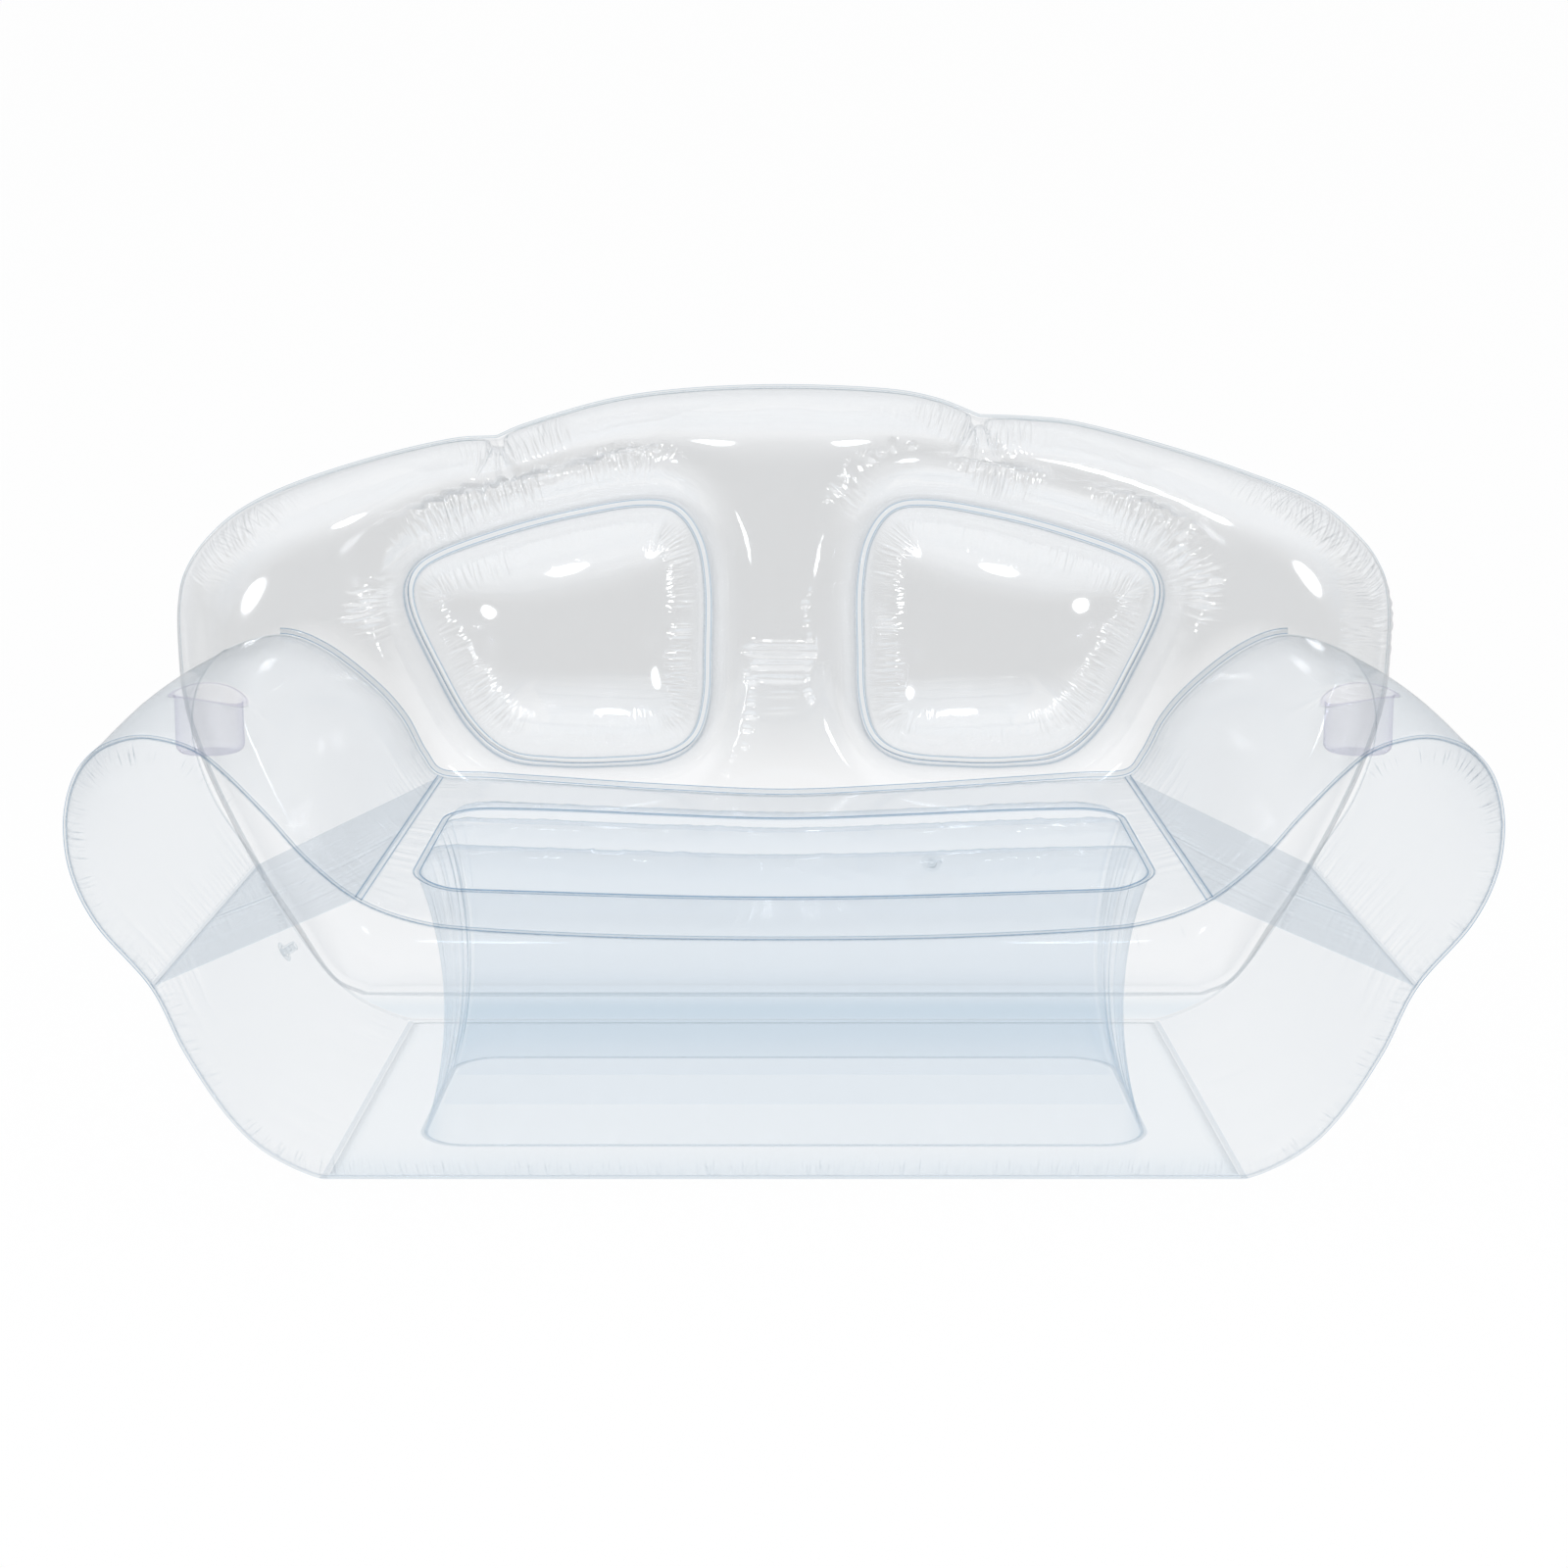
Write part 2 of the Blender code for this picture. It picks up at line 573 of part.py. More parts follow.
def add_seat_supports(sofa):
    """The necked box baffle under the seat ring, its floor weld, and the rib webs inside it."""
    floor_weld_z = FILM + FIT_GAP + WELD_THICKNESS / 2
    floor_ring = [insert_loop(outset) for outset in (-STRIP_HALF, STRIP_HALF)]
    sofa.loft("floor_ring_weld", [lift(loop, floor_weld_z) for loop in floor_ring], BLUE_WELD,
              closed=True, thickness=WELD_THICKNESS, alpha=0.6)
    under_weld = WELD_THICKNESS / 2 + FIT_GAP
    foot = floor_weld_z + under_weld

    def wall(share):
        loop = insert_loop(-neck(share))
        top = seat_height(*insert_loop(0).T) - under_weld - FILM / 2
        return lift(loop, foot + (top - foot) * share)

    sofa.loft("seat_baffle", section_rows(NECK_STEPS, wall), BLUE_FILM, closed=True)
    for name, rib in zip(("front_rib_web", "rear_rib_web"), RIB_DEPTH_SHARES):
        half, y = insert_row(rib)
        x = (half - FIT_GAP) * np.array(CHANNEL_COLUMN_SHARES)
        low = FILM + FIT_GAP
        top = seat_height(x, y) - FILM / 2 - FIT_GAP
        sections = [
            np.column_stack([x * (1 - neck(share) / half), np.full(len(x), y), low + (top - low) * share])
            for share in np.linspace(0, 1, NECK_STEPS + 1)
        ]
        sofa.loft(name, sections, BLUE_FILM)


def neck(share):
    """How far the baffle is drawn in at a share of its height."""
    return BAFFLE_NECK * (1 - (2 * share - 1) ** 2)


def sided(side, points):
    """Points given for the right, on the side asked for."""
    return points if side == "right" else mirrored(points)


def add_side_welds(sofa, side):
    """The crease strip between seat and arm, the waist strip, and the strip along the floor's edge."""

    def crease(back):
        x = np.array([CREASE_X - STRIP_HALF, CREASE_X])
        y = SKIN_FRONT_Y + SKIN_DEPTH * back
        seat = np.column_stack([x, np.full(2, y), seat_height(x, y)])
        return sided(side, np.concatenate([seat, ARM_SKIN.at(ARM_SKIN.share(STRIP_HALF), back)]))

    def waist(back):
        low = SIDE_SKIN.at(SIDE_SKIN.share(STRIP_HALF), back)
        return sided(side, np.concatenate([ARM_SKIN.at((1 - ARM_SKIN.share(STRIP_HALF), 1), back), low]))

    def floor(back):
        x = FLOOR_X + np.array([STRIP_HALF, -STRIP_HALF])
        y = np.full(2, SKIN_FRONT_Y + SKIN_DEPTH * back)
        return sided(side, np.column_stack([x, y, np.full(2, WELD_THICKNESS / 2)]))

    for name, points_of in (("crease", crease), ("waist", waist), ("floor", floor)):
        sofa.loft(f"{side}_{name}_weld", section_rows(DEPTH_STEPS, points_of), BLUE_WELD,
                  thickness=WELD_THICKNESS, alpha=0.6)


def add_arm_web(sofa, side):
    """The film inside the arm that holds crease and waist together."""

    def row(back):
        crease, waist = ARM_SKIN.at((0, 1), back)
        run = waist - crease
        clear = WEB_CLEARANCE / np.linalg.norm(run)
        shares = clear + (1 - 2 * clear) * np.linspace(0, 1, WEB_COLUMNS)
        points = crease + shares[:, None] * run
        points[:, 2] -= WEB_SAG * np.sin(math.pi * shares) * math.sin(math.pi * back)
        return sided(side, points)

    sofa.loft(f"{side}_arm_web", section_rows(DEPTH_STEPS, row), GREY_FILM)


def cup_loop(radius):
    """A circle round the right cup holder on the floor plan, anticlockwise."""
    return ring_of(radius, (CUP_X, FRONT_SEAM_Y + CUP_SETBACK), CUP_STEPS)


def on_arm(plan):
    """Plan points raised to the arm's film, with the shares along and back where they lie."""
    back = share_back(plan[:, 1])
    along = ARM_SKIN.share_at_x(plan[:, 0], back)
    return np.column_stack([plan, ARM_SKIN.at(along, back)[:, 2]]), along, back


def add_arm_film(sofa, side):
    """The film over the arm, with the cup holder's hole."""
    length = ARM_SKIN.length
    edge = STRIP_HALF + FIT_GAP
    outline = rectangle((edge, 0), (length - edge, SKIN_DEPTH), ARM_SPACING)
    _, along, back = on_arm(cup_loop(CUP_DIAMETER / 2 + CUP_RIM_WIDTH + FIT_GAP))
    hole = np.column_stack([along * length, back * SKIN_DEPTH])
    flat, faces = triangulate(outline, [hole], spacing=ARM_SPACING, rows=())
    points = ARM_SKIN.at(flat[:, 0] / length, flat[:, 1] / SKIN_DEPTH)
    sofa.sheet(f"{side}_arm_film", sided(side, points), faces, COOL_FILM)


def add_cup_holder(sofa, side):
    """A round well hung in the arm's top, with the weld round its mouth."""
    inner = CUP_DIAMETER / 2
    rim = [sided(side, on_arm(cup_loop(r))[0]) for r in (inner, inner + CUP_RIM_WIDTH)]
    sofa.loft(f"{side}_cup_rim_weld", rim, LILAC_FILM, closed=True, thickness=WELD_THICKNESS, alpha=0.6)
    wall = inner + FILM / 2
    mouth = on_arm(cup_loop(wall))[0]
    mouth[:, 2] -= WELD_THICKNESS / 2 + FIT_GAP + FILM
    bottom = mouth[:, 2].min() - CUP_DEPTH
    sections = [mouth]
    for inward, up in CUP_FILLET_SHARES:
        radius = wall - CUP_FILLET * inward
        sections.append(lift(cup_loop(radius), bottom + CUP_FILLET * up))
    points = np.concatenate([*sections, [[CUP_X, FRONT_SEAM_Y + CUP_SETBACK, bottom]]])
    count = CUP_STEPS
    faces = [
        (r * count + c, r * count + (c + 1) % count, (r + 1) * count + (c + 1) % count, (r + 1) * count + c)
        for r in range(len(sections) - 1) for c in range(count)
    ]
    last = (len(sections) - 1) * count
    faces += [(last + c, last + (c + 1) % count, len(points) - 1) for c in range(count)]
    sofa.sheet(f"{side}_cup_well", sided(side, points), faces, LILAC_FILM)


def add_side_film(sofa, side):
    """The lower outer side, from the waist down to the floor, with the base valve's hole on the left."""
    length, edge = SIDE_SKIN.length, STRIP_HALF + FIT_GAP
    outline = rectangle((edge, 0), (length - edge, SKIN_DEPTH), SIDE_SPACING)
    holes = []
    if side == "left":
        holes = [ring_of(VALVE_HOLE_RADIUS, (BASE_VALVE_DROP, BASE_VALVE_Y), VALVE_STEPS)]
    flat, faces = triangulate(outline, holes, spacing=SIDE_SPACING, rows=())
    points = SIDE_SKIN.at(flat[:, 0] / length, flat[:, 1] / SKIN_DEPTH)
    sofa.sheet(f"{side}_side_film", sided(side, points), faces, COOL_FILM)


def add_floor_film(sofa):
    """The flat film that the sofa rests on."""
    edge = FLOOR_X - STRIP_HALF - FIT_GAP
    rows = [lift(np.array([(-edge, y), (edge, y)]), FILM / 2) for y in (SKIN_FRONT_Y, SKIN_REAR_Y)]
    sofa.loft("floor_film", rows, BLUE_FILM)


def back_point(x_share, z_share):
    """A place on the backrest's seam from its shares of the half width and height."""
    foot = BACK_FLOOR_CLEARANCE + SEAM_RADIUS
    return x_share * BACK_X, foot + z_share * (BACK_HEIGHT - SEAM_RADIUS - foot)


def back_loop():
    """The backrest's seam, anticlockwise seen from the front, with a notch between each two lobes."""
    lobes = []
    for shares, steps in (
        (BACK_LEFT_LOBE_SHARES, LOBE_STEPS), (BACK_CENTRE_LOBE_SHARES, LOBE_STEPS // 2),
        (BACK_RIGHT_LOBE_SHARES, LOBE_STEPS),
    ):
        lobes.append(smooth_run([back_point(*share) for share in shares], steps)[:-1])
    start, end = lobes[0][0], np.array(back_point(*BACK_RIGHT_LOBE_SHARES[-1]))
    foot = [end + (start - end) * i / FOOT_STEPS for i in range(FOOT_STEPS)]
    return np.concatenate([*lobes, foot])[::-1]


def pillow_loop(side):
    """The middle of a pillow's ring weld, anticlockwise seen from the front."""
    controls = [(x * BACK_X, z * BACK_HEIGHT) for x, z in PILLOW_SHARES]
    loop = smooth_loop(controls, PILLOW_STEPS)
    return loop if side == "right" else mirrored(loop)[::-1]


def add_backrest(sofa):
    """Front and rear film round the two pillows, joined at the outer seam and at the pillow rings."""
    sofa.seam("backrest_seam", back_loop(), BACK_SEAM_Y, GREY_WELD, alpha=0.6, roughness=0.15)
    pillows = {side: pillow_loop(side) for side in ("left", "right")}
    outline = inset(back_loop(), SEAM_REACH)
    holes = [inset(loop, -STRIP_HALF - FIT_GAP) for loop in pillows.values()]
    for face, way in (("front", -1), ("rear", 1)):
        bores = []
        if face == "rear":
            bores = [ring_of(VALVE_HOLE_RADIUS, (BACK_VALVE_X, BACK_VALVE_HEIGHT), VALVE_STEPS)]
        flat, faces = triangulate(outline, holes + bores)
        stand = SHEET_EDGE + swell(flat, [outline, *holes], BACK_HALF_THICKNESS - SHEET_EDGE, BACK_SWELL_REACH)
        points = np.column_stack([flat[:, 0], BACK_SEAM_Y + way * stand, flat[:, 1]])
        sofa.sheet(f"backrest_{face}_film", points, faces, GREY_FILM)
    for side, loop in pillows.items():
        add_pillow(sofa, side, loop)


def add_pillow(sofa, side, loop):
    """A pillow's ring weld and its front and rear film."""
    ring = [inset(loop, distance) for distance in (-STRIP_HALF, STRIP_HALF)]
    sections = [np.column_stack([r[:, 0], np.full(len(r), BACK_SEAM_Y), r[:, 1]]) for r in ring]
    sofa.loft(f"{side}_pillow_ring_weld", sections, BLUE_WELD, closed=True,
              thickness=WELD_THICKNESS, alpha=0.6)
    outline = inset(loop, STRIP_HALF + FIT_GAP)
    flat, faces = triangulate(outline)
    stand = SHEET_EDGE + swell(flat, [outline], PILLOW_HALF_THICKNESS - SHEET_EDGE, PILLOW_SWELL_REACH)
    for face, way in (("front", -1), ("rear", 1)):
        points = np.column_stack([flat[:, 0], BACK_SEAM_Y + way * stand, flat[:, 1]])
        sofa.sheet(f"{side}_pillow_{face}", points, faces, GREY_FILM)


def add_backrest_weld(sofa):
    """The strip that joins the base's rear seam to the backrest, from one arm's top over the seat to the other's."""
    arm = REAR.arm_run()
    top = int(np.argmax(arm[:, 1]))
    half = np.concatenate([REAR.seat_run(), arm[1:top + 1]])
    run = np.concatenate([mirrored(half)[:0:-1], half])
    along = np.gradient(run, axis=0)
    out = np.column_stack([-along[:, 1], along[:, 0]]) / np.linalg.norm(along, axis=1)[:, None]
    y = REAR_SEAM_Y + SEAM_RADIUS - WELD_THICKNESS / 2
    sections = []
    for distance in (SEAM_REACH, SEAM_REACH + WELD_WIDTH):
        edge = run + out * distance
        sections.append(np.column_stack([edge[:, 0], np.full(len(edge), y), edge[:, 1]]))
    sofa.loft("backrest_weld", sections, BLUE_WELD, thickness=WELD_THICKNESS, alpha=0.6)


def turned(sofa, name, profile, closed, place, colour):
    """A piece turned about its own Z axis, from a profile that runs down its outer side."""
    mesh = bpy.data.meshes.new(name)
    edges = [(i, i + 1) for i in range(len(profile) - 1)]
    if closed:
        edges.append((len(profile) - 1, 0))
    mesh.from_pydata([(x, 0, z) for x, z in profile], edges, [])
    obj = sofa.place(name, mesh, colour, alpha=0.7, roughness=0.25)
    screw = obj.modifiers.new("Turn", "SCREW")
    screw.steps = screw.render_steps = VALVE_STEPS
    screw.use_merge_vertices = True
    screw.merge_threshold = MERGE
    screw.use_smooth_shade = True
    obj.matrix_world = place
    return obj


def add_valve(sofa, name, place, seat):
    """A valve let into the film: body with flange and stem, stopper, and the stopper's strap."""
    flange_low, bore = seat, VALVE_BORE_DIAMETER / 2
    flange_top = flange_low + VALVE_FLANGE_THICKNESS
    stem_end = flange_low - VALVE_STEM_LENGTH
    turned(sofa, f"{name}_valve_body", [
        (VALVE_FLANGE_DIAMETER / 2, flange_top), (VALVE_FLANGE_DIAMETER / 2, flange_low),
        (VALVE_STEM_DIAMETER / 2, flange_low), (VALVE_STEM_DIAMETER / 2, stem_end),
        (bore, stem_end), (bore, flange_top),
    ], True, place, VALVE_PLASTIC)
    head_low = flange_top + FIT_GAP
    head_top = head_low + VALVE_HEAD_THICKNESS
    turned(sofa, f"{name}_valve_stopper", [
        (0, head_top), (VALVE_HEAD_DIAMETER / 2, head_top), (VALVE_HEAD_DIAMETER / 2, head_low),
        (VALVE_PLUG_DIAMETER / 2, head_low), (VALVE_PLUG_DIAMETER / 2, head_low - VALVE_PLUG_LENGTH),
        (0, head_low - VALVE_PLUG_LENGTH),
    ], False, place, VALVE_PLASTIC)
    inner, outer = VALVE_HEAD_DIAMETER / 2 + FIT_GAP, VALVE_FLANGE_DIAMETER / 2
    mesh = bpy.data.meshes.new(f"{name}_valve_strap")
    shape = bmesh.new()
    size = Matrix.Diagonal((outer - inner, VALVE_STRAP_WIDTH, VALVE_STRAP_THICKNESS, 1))
    middle = Matrix.Translation(((inner + outer) / 2, 0, head_low + VALVE_STRAP_THICKNESS / 2))
    bmesh.ops.create_cube(shape, size=1, matrix=middle @ size)
    shape.to_mesh(mesh)
    shape.free()
    strap = sofa.place(f"{name}_valve_strap", mesh, VALVE_PLASTIC, alpha=0.7, roughness=0.25)
    strap.matrix_world = place


def facing(origin, normal, strap_way):
    """A frame at an origin with its Z along a normal and its X near a given way."""
    z = Vector(normal).normalized()
    x = Vector(strap_way)
    x = (x - x.dot(z) * z).normalized()
    turn = Matrix((x, z.cross(x), z)).transposed().to_4x4()
    return Matrix.Translation(Vector(origin)) @ turn


def add_valves(sofa):
    """The backrest's valve on its flat rear film, and the base's on the left lower side near the rear."""
    rear_y = BACK_SEAM_Y + BACK_HALF_THICKNESS
    place = facing((BACK_VALVE_X, rear_y, BACK_VALVE_HEIGHT), (0, 1, 0), (1, 0, 0))
    add_valve(sofa, "backrest", place, FILM / 2 + FIT_GAP)
    along, back = BASE_VALVE_DROP / SIDE_SKIN.length, BASE_VALVE_Y / SKIN_DEPTH
    step = VALVE_FLANGE_DIAMETER / 2
    reach, rise = SIDE_SKIN.share(step), step / SKIN_DEPTH
    middle, lower, upper, rearward = (
        mirrored(SIDE_SKIN.at(a, b))[0]
        for a, b in ((along, back), (along + reach, back), (along - reach, back), (along, back + rise))
    )
    normal = np.cross(upper - lower, rearward - middle)
    normal /= np.linalg.norm(normal)
    proud = max(0, *(np.dot(p - middle, normal) for p in (lower, upper, rearward)))
    place = facing(middle, normal, (0, 1, 0))
    add_valve(sofa, "base", place, proud + FILM / 2 + 2 * FIT_GAP)


def build():
    for obj in list(bpy.data.objects):
        bpy.data.objects.remove(obj)
    collection = bpy.data.collections.new("inflatable_sofa")
    bpy.context.scene.collection.children.link(collection)
    sofa = Sofa(collection)
    add_base_seams(sofa)
    add_base_panels(sofa)
    add_seat(sofa)
    add_seat_insert(sofa)
    add_seat_supports(sofa)
    add_floor_film(sofa)
    for side in ("left", "right"):
        add_arm_film(sofa, side)
        add_side_film(sofa, side)
        add_side_welds(sofa, side)
        add_arm_web(sofa, side)
        add_cup_holder(sofa, side)
    add_backrest(sofa)
    add_backrest_weld(sofa)
    add_valves(sofa)


build()
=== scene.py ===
"""Looks of the clear inflatable sofa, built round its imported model.

Lengths are in metres, +Z is up and the sofa faces -Y. Every film is drawn again as a fine sheet in the
place of its solid, with the puckers, folds and double weld lines that the plain solids leave out.
"""

import math

import bpy
import numpy as np
from mathutils import Matrix, Vector
from mathutils.geometry import delaunay_2d_cdt


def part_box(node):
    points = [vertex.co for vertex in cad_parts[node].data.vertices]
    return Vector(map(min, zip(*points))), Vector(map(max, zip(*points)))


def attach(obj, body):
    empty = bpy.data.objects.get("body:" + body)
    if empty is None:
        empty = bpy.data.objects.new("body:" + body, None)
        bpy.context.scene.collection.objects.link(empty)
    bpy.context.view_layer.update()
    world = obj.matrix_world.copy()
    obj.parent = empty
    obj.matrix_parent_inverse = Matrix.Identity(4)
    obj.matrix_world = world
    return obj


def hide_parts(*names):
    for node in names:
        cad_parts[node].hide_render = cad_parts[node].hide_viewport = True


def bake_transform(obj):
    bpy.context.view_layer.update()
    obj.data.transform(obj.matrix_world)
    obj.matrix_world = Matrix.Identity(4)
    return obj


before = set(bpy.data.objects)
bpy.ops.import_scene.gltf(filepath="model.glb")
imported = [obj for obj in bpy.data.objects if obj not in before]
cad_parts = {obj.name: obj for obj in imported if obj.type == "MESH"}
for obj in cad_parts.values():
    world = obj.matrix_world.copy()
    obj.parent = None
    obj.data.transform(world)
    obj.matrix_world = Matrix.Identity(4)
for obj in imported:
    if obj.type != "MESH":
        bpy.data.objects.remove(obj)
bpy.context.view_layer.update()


def middle_y(node):
    low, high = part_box(node)
    return (low.y + high.y) / 2


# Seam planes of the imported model
FRONT_SEAM_Y = middle_y("front_seam")
REAR_SEAM_Y = middle_y("rear_seam")
BACK_SEAM_Y = middle_y("backrest_seam")

# Film and weld lines
FILM = 0.0004
FIT_GAP = 0.0003
SEAM_RADIUS = 0.0016
SEAM_REACH = SEAM_RADIUS + FIT_GAP
STRIP_HALF = 0.004
STRIP_EDGE = STRIP_HALF + FIT_GAP
WELD_THICKNESS = 0.0008
WELD_BEAD = 0.0007
SEAM_BEAD = 0.0008
FLAT_BEAD = WELD_THICKNESS / 2
SHEET_EDGE = (FILM + FIT_GAP) / 2

# Base, with the sizes that its solids have
FRONT_CROWN = 0.020
FRONT_REACH = 0.130
SEAT_HEIGHT_FRONT, SEAT_HEIGHT_REAR = 0.269, 0.307
CREASE_RISE_FRONT, CREASE_RISE_REAR = 0.043, 0.027
SEAT_CROWN = 0.016
SEAT_GATHER = 0.0016
ARM_REACH_FRONT, ARM_REACH_REAR = 0.306, 0.324
ARM_HEIGHT_FRONT, ARM_HEIGHT_REAR = 0.486, 0.520
ARM_CROWN = 0.010
ARM_MIDDLE = (0.582, 0, 0.33)
WAIST_REACH_FRONT, WAIST_REACH_REAR = 0.223, 0.245
WAIST_HEIGHT = 0.215
WEB_SAG = 0.006
WEB_CLEARANCE = 0.0012
CREASE_X = 0.452
FLOOR_REACH = 0.048
FLOOR_X = CREASE_X + FLOOR_REACH

# Seat insert and baffle
INSERT_WIDTH = 0.828
INSERT_FRONT_SETBACK = 0.105
INSERT_DEPTH = 0.332
INSERT_CORNER_RADIUS = 0.055
CHANNEL_CROWN = 0.014
CHANNEL_END_REACH = 0.050
BAFFLE_NECK = 0.026
RIB_DEPTH_SHARES = (0.440, 0.795)

# Cup holders
CUP_DIAMETER = 0.076
CUP_DEPTH = 0.056
CUP_X = CREASE_X + 0.200
CUP_SETBACK = 0.205
CUP_RIM_WIDTH = 0.006
CUP_FILLET = 0.010

# Backrest
BACK_X = 0.816
BACK_HEIGHT = 0.841
BACK_FLOOR_CLEARANCE = 0.002
BACK_HALF_THICKNESS = 0.108
PILLOW_HALF_THICKNESS = 0.062
PILLOW_SWELL_REACH = 0.125
PILLOW_BLUR = 0.020

# Valves
FLANGE_RADIUS = 0.014
FLANGE_THICKNESS = 0.0012
STEM_RADIUS = 0.0065
BORE_RADIUS = 0.00425
STEM_LENGTH = 0.016
PLUG_RADIUS = 0.0039
PLUG_LENGTH = 0.010
HEAD_RADIUS = 0.006
HEAD_THICKNESS = 0.0022
STRAP_WIDTH = 0.004
STRAP_THICKNESS = 0.0009
STRAP_PATH = (
    (0.0128, 0.0004), (0.0150, 0.0012), (0.0148, 0.0030), (0.0110, 0.0038), (0.0074, 0.0028),
    (0.0057, 0.0015),
)
BACK_VALVE_X = 0.210
BACK_VALVE_HEIGHT = 0.170
BASE_VALVE_REAR_SETBACK = 0.085
BASE_VALVE_DROP = 0.105
VALVE_HOLE_RADIUS = STEM_RADIUS + 0.0009
VALVE_FLAT_RADIUS = 0.055
VALVE_FLAT_EDGE = 0.035

# Outlines as shares, as on the solids
ARM_FRONT_SHARES = (
    (0.167, 0.514), (0.297, 0.685), (0.435, 0.852), (0.546, 0.953), (0.696, 1.000), (0.810, 0.983),
    (0.899, 0.926), (0.965, 0.820), (1.000, 0.655), (0.985, 0.455), (0.905, 0.250),
)
ARM_REAR_SHARES = (
    (0.079, 0.485), (0.154, 0.640), (0.269, 0.782), (0.461, 0.941), (0.636, 1.000), (0.849, 0.935),
    (0.940, 0.840), (0.985, 0.730), (1.000, 0.590), (0.975, 0.440), (0.905, 0.250),
)
SIDE_SHARES = ((0.190, 0.655), (0.430, 0.330), (0.670, 0.130))
SEAT_FRONT_SHARES = ((0.37, 0.05), (0.72, 0.23), (0.87, 0.45))
SEAT_REAR_SHARES = ((0.34, 0.24), (0.68, 0.62), (0.85, 0.82))
BACK_SIDE_SHARES = (
    (0.710, 0.004), (0.766, 0.034), (0.826, 0.128), (0.885, 0.225), (0.955, 0.372), (0.992, 0.490),
    (1.000, 0.600), (0.996, 0.665), (0.981, 0.711), (0.945, 0.759),
)
BACK_LEFT_LOBE_SHARES = (
    *((-x, z) for x, z in BACK_SIDE_SHARES), (-0.888, 0.805), (-0.802, 0.845), (-0.672, 0.886),
    (-0.543, 0.915), (-0.468, 0.920),
)
BACK_CENTRE_LOBE_SHARES = (
    (-0.468, 0.920), (-0.415, 0.941), (-0.286, 0.977), (-0.159, 0.994), (0.000, 1.000), (0.159, 0.994),
    (0.245, 0.980), (0.318, 0.953),
)
BACK_RIGHT_LOBE_SHARES = (
    (0.318, 0.953), (0.400, 0.950), (0.479, 0.941), (0.608, 0.909), (0.738, 0.869), (0.868, 0.819),
    *BACK_SIDE_SHARES[::-1],
)
PILLOW_SHARES = (
    (0.125, 0.680), (0.126, 0.585), (0.130, 0.500), (0.150, 0.440), (0.200, 0.409), (0.290, 0.400),
    (0.380, 0.400), (0.460, 0.412), (0.520, 0.462), (0.570, 0.550), (0.612, 0.645), (0.608, 0.700),
    (0.560, 0.735), (0.440, 0.775), (0.330, 0.801), (0.235, 0.815), (0.175, 0.805), (0.138, 0.755),
)

# Mesh fineness
CURVE_TRIES = 24
RUN_STEPS = 240
LOBE_STEPS = 300
FINE_STEP = 0.0034
FILM_SPACING = 0.011
EDGE_ROWS = (0.0025, 0.006, 0.010, 0.015, 0.021, 0.028, 0.036, 0.045)
GRID_STEP = 0.006
CHUNK = 1500
RELAXATIONS = 2500
SHARE_TRIES = 160
RING_STEPS = 640
TURN_STEPS = 48
STAGE_STEPS = 96
INSERT_COLUMNS, CHANNEL_ROWS = 201, 25
SUPPORT_ROWS, RIB_COLUMNS = 37, 241
STRIP_STATIONS, BACK_STRIP_STEPS = 160, 700
WEB_ROWS, WEB_COLUMNS = 141, 61
FLOOR_ROWS, FLOOR_COLUMNS = 40, 60
WELL_ROWS, FILLET_ROWS = 18, 8

# Gathers along the welds: height, width and how far from the weld they peak
INSERT_HOLE_GATHER = (0.0015, 0.017)
CHANNEL_GATHER = (0.0022, 0.018, 0.014)
CHANNEL_END_GATHER = (0.0035, 0.075, 0.02)
BAFFLE_TOP_GATHER = (0.005, 0.016, 0.045)
BAFFLE_FOOT_GATHER = (0.006, 0.014, 0.035)
RIB_FOOT_GATHER = (0.006, 0.030, 0.04)
RIB_TOP_GATHER = (0.006, 0.026, 0.03)
ARM_WEB_GATHER = (0.003, 0.05, 0.03)
ARM_HOLE_GATHER = (0.0012, 0.016, 0.012)
WELL_GATHER = (0.0016, 0.07, 0.012)
PILLOW_GATHER = (0.0009, 0.020, 0.020)

# Places worked out from the sizes above
SKIN_FRONT_Y = FRONT_SEAM_Y + SEAM_REACH
SKIN_REAR_Y = REAR_SEAM_Y - SEAM_REACH
SKIN_DEPTH = SKIN_REAR_Y - SKIN_FRONT_Y
BASE_VALVE_Y = SKIN_DEPTH - BASE_VALVE_REAR_SETBACK
CUP_Y = FRONT_SEAM_Y + CUP_SETBACK
INSERT_Y = FRONT_SEAM_Y + INSERT_FRONT_SETBACK + INSERT_DEPTH / 2
SIDES = ("left", "right")


def evenly(points, steps):
    """A run of points at equal spacing along another."""
    walked = np.concatenate([[0], np.cumsum(np.linalg.norm(np.diff(points, axis=0), axis=1))])
    at = np.linspace(0, walked[-1], steps + 1)
    return np.stack([np.interp(at, walked, points[:, k]) for k in range(points.shape[1])], axis=1)


def smoothed(share):
    """A share held between 0 and 1, with a slow start and a slow end."""
    share = np.clip(share, 0, 1)
    return share**2 * (3 - 2 * share)


def slow_ends(steps):
    """Shares from 0 to 1 that lie closer together at both ends."""
    return 0.5 - 0.5 * np.cos(math.pi * np.linspace(0, 1, steps))


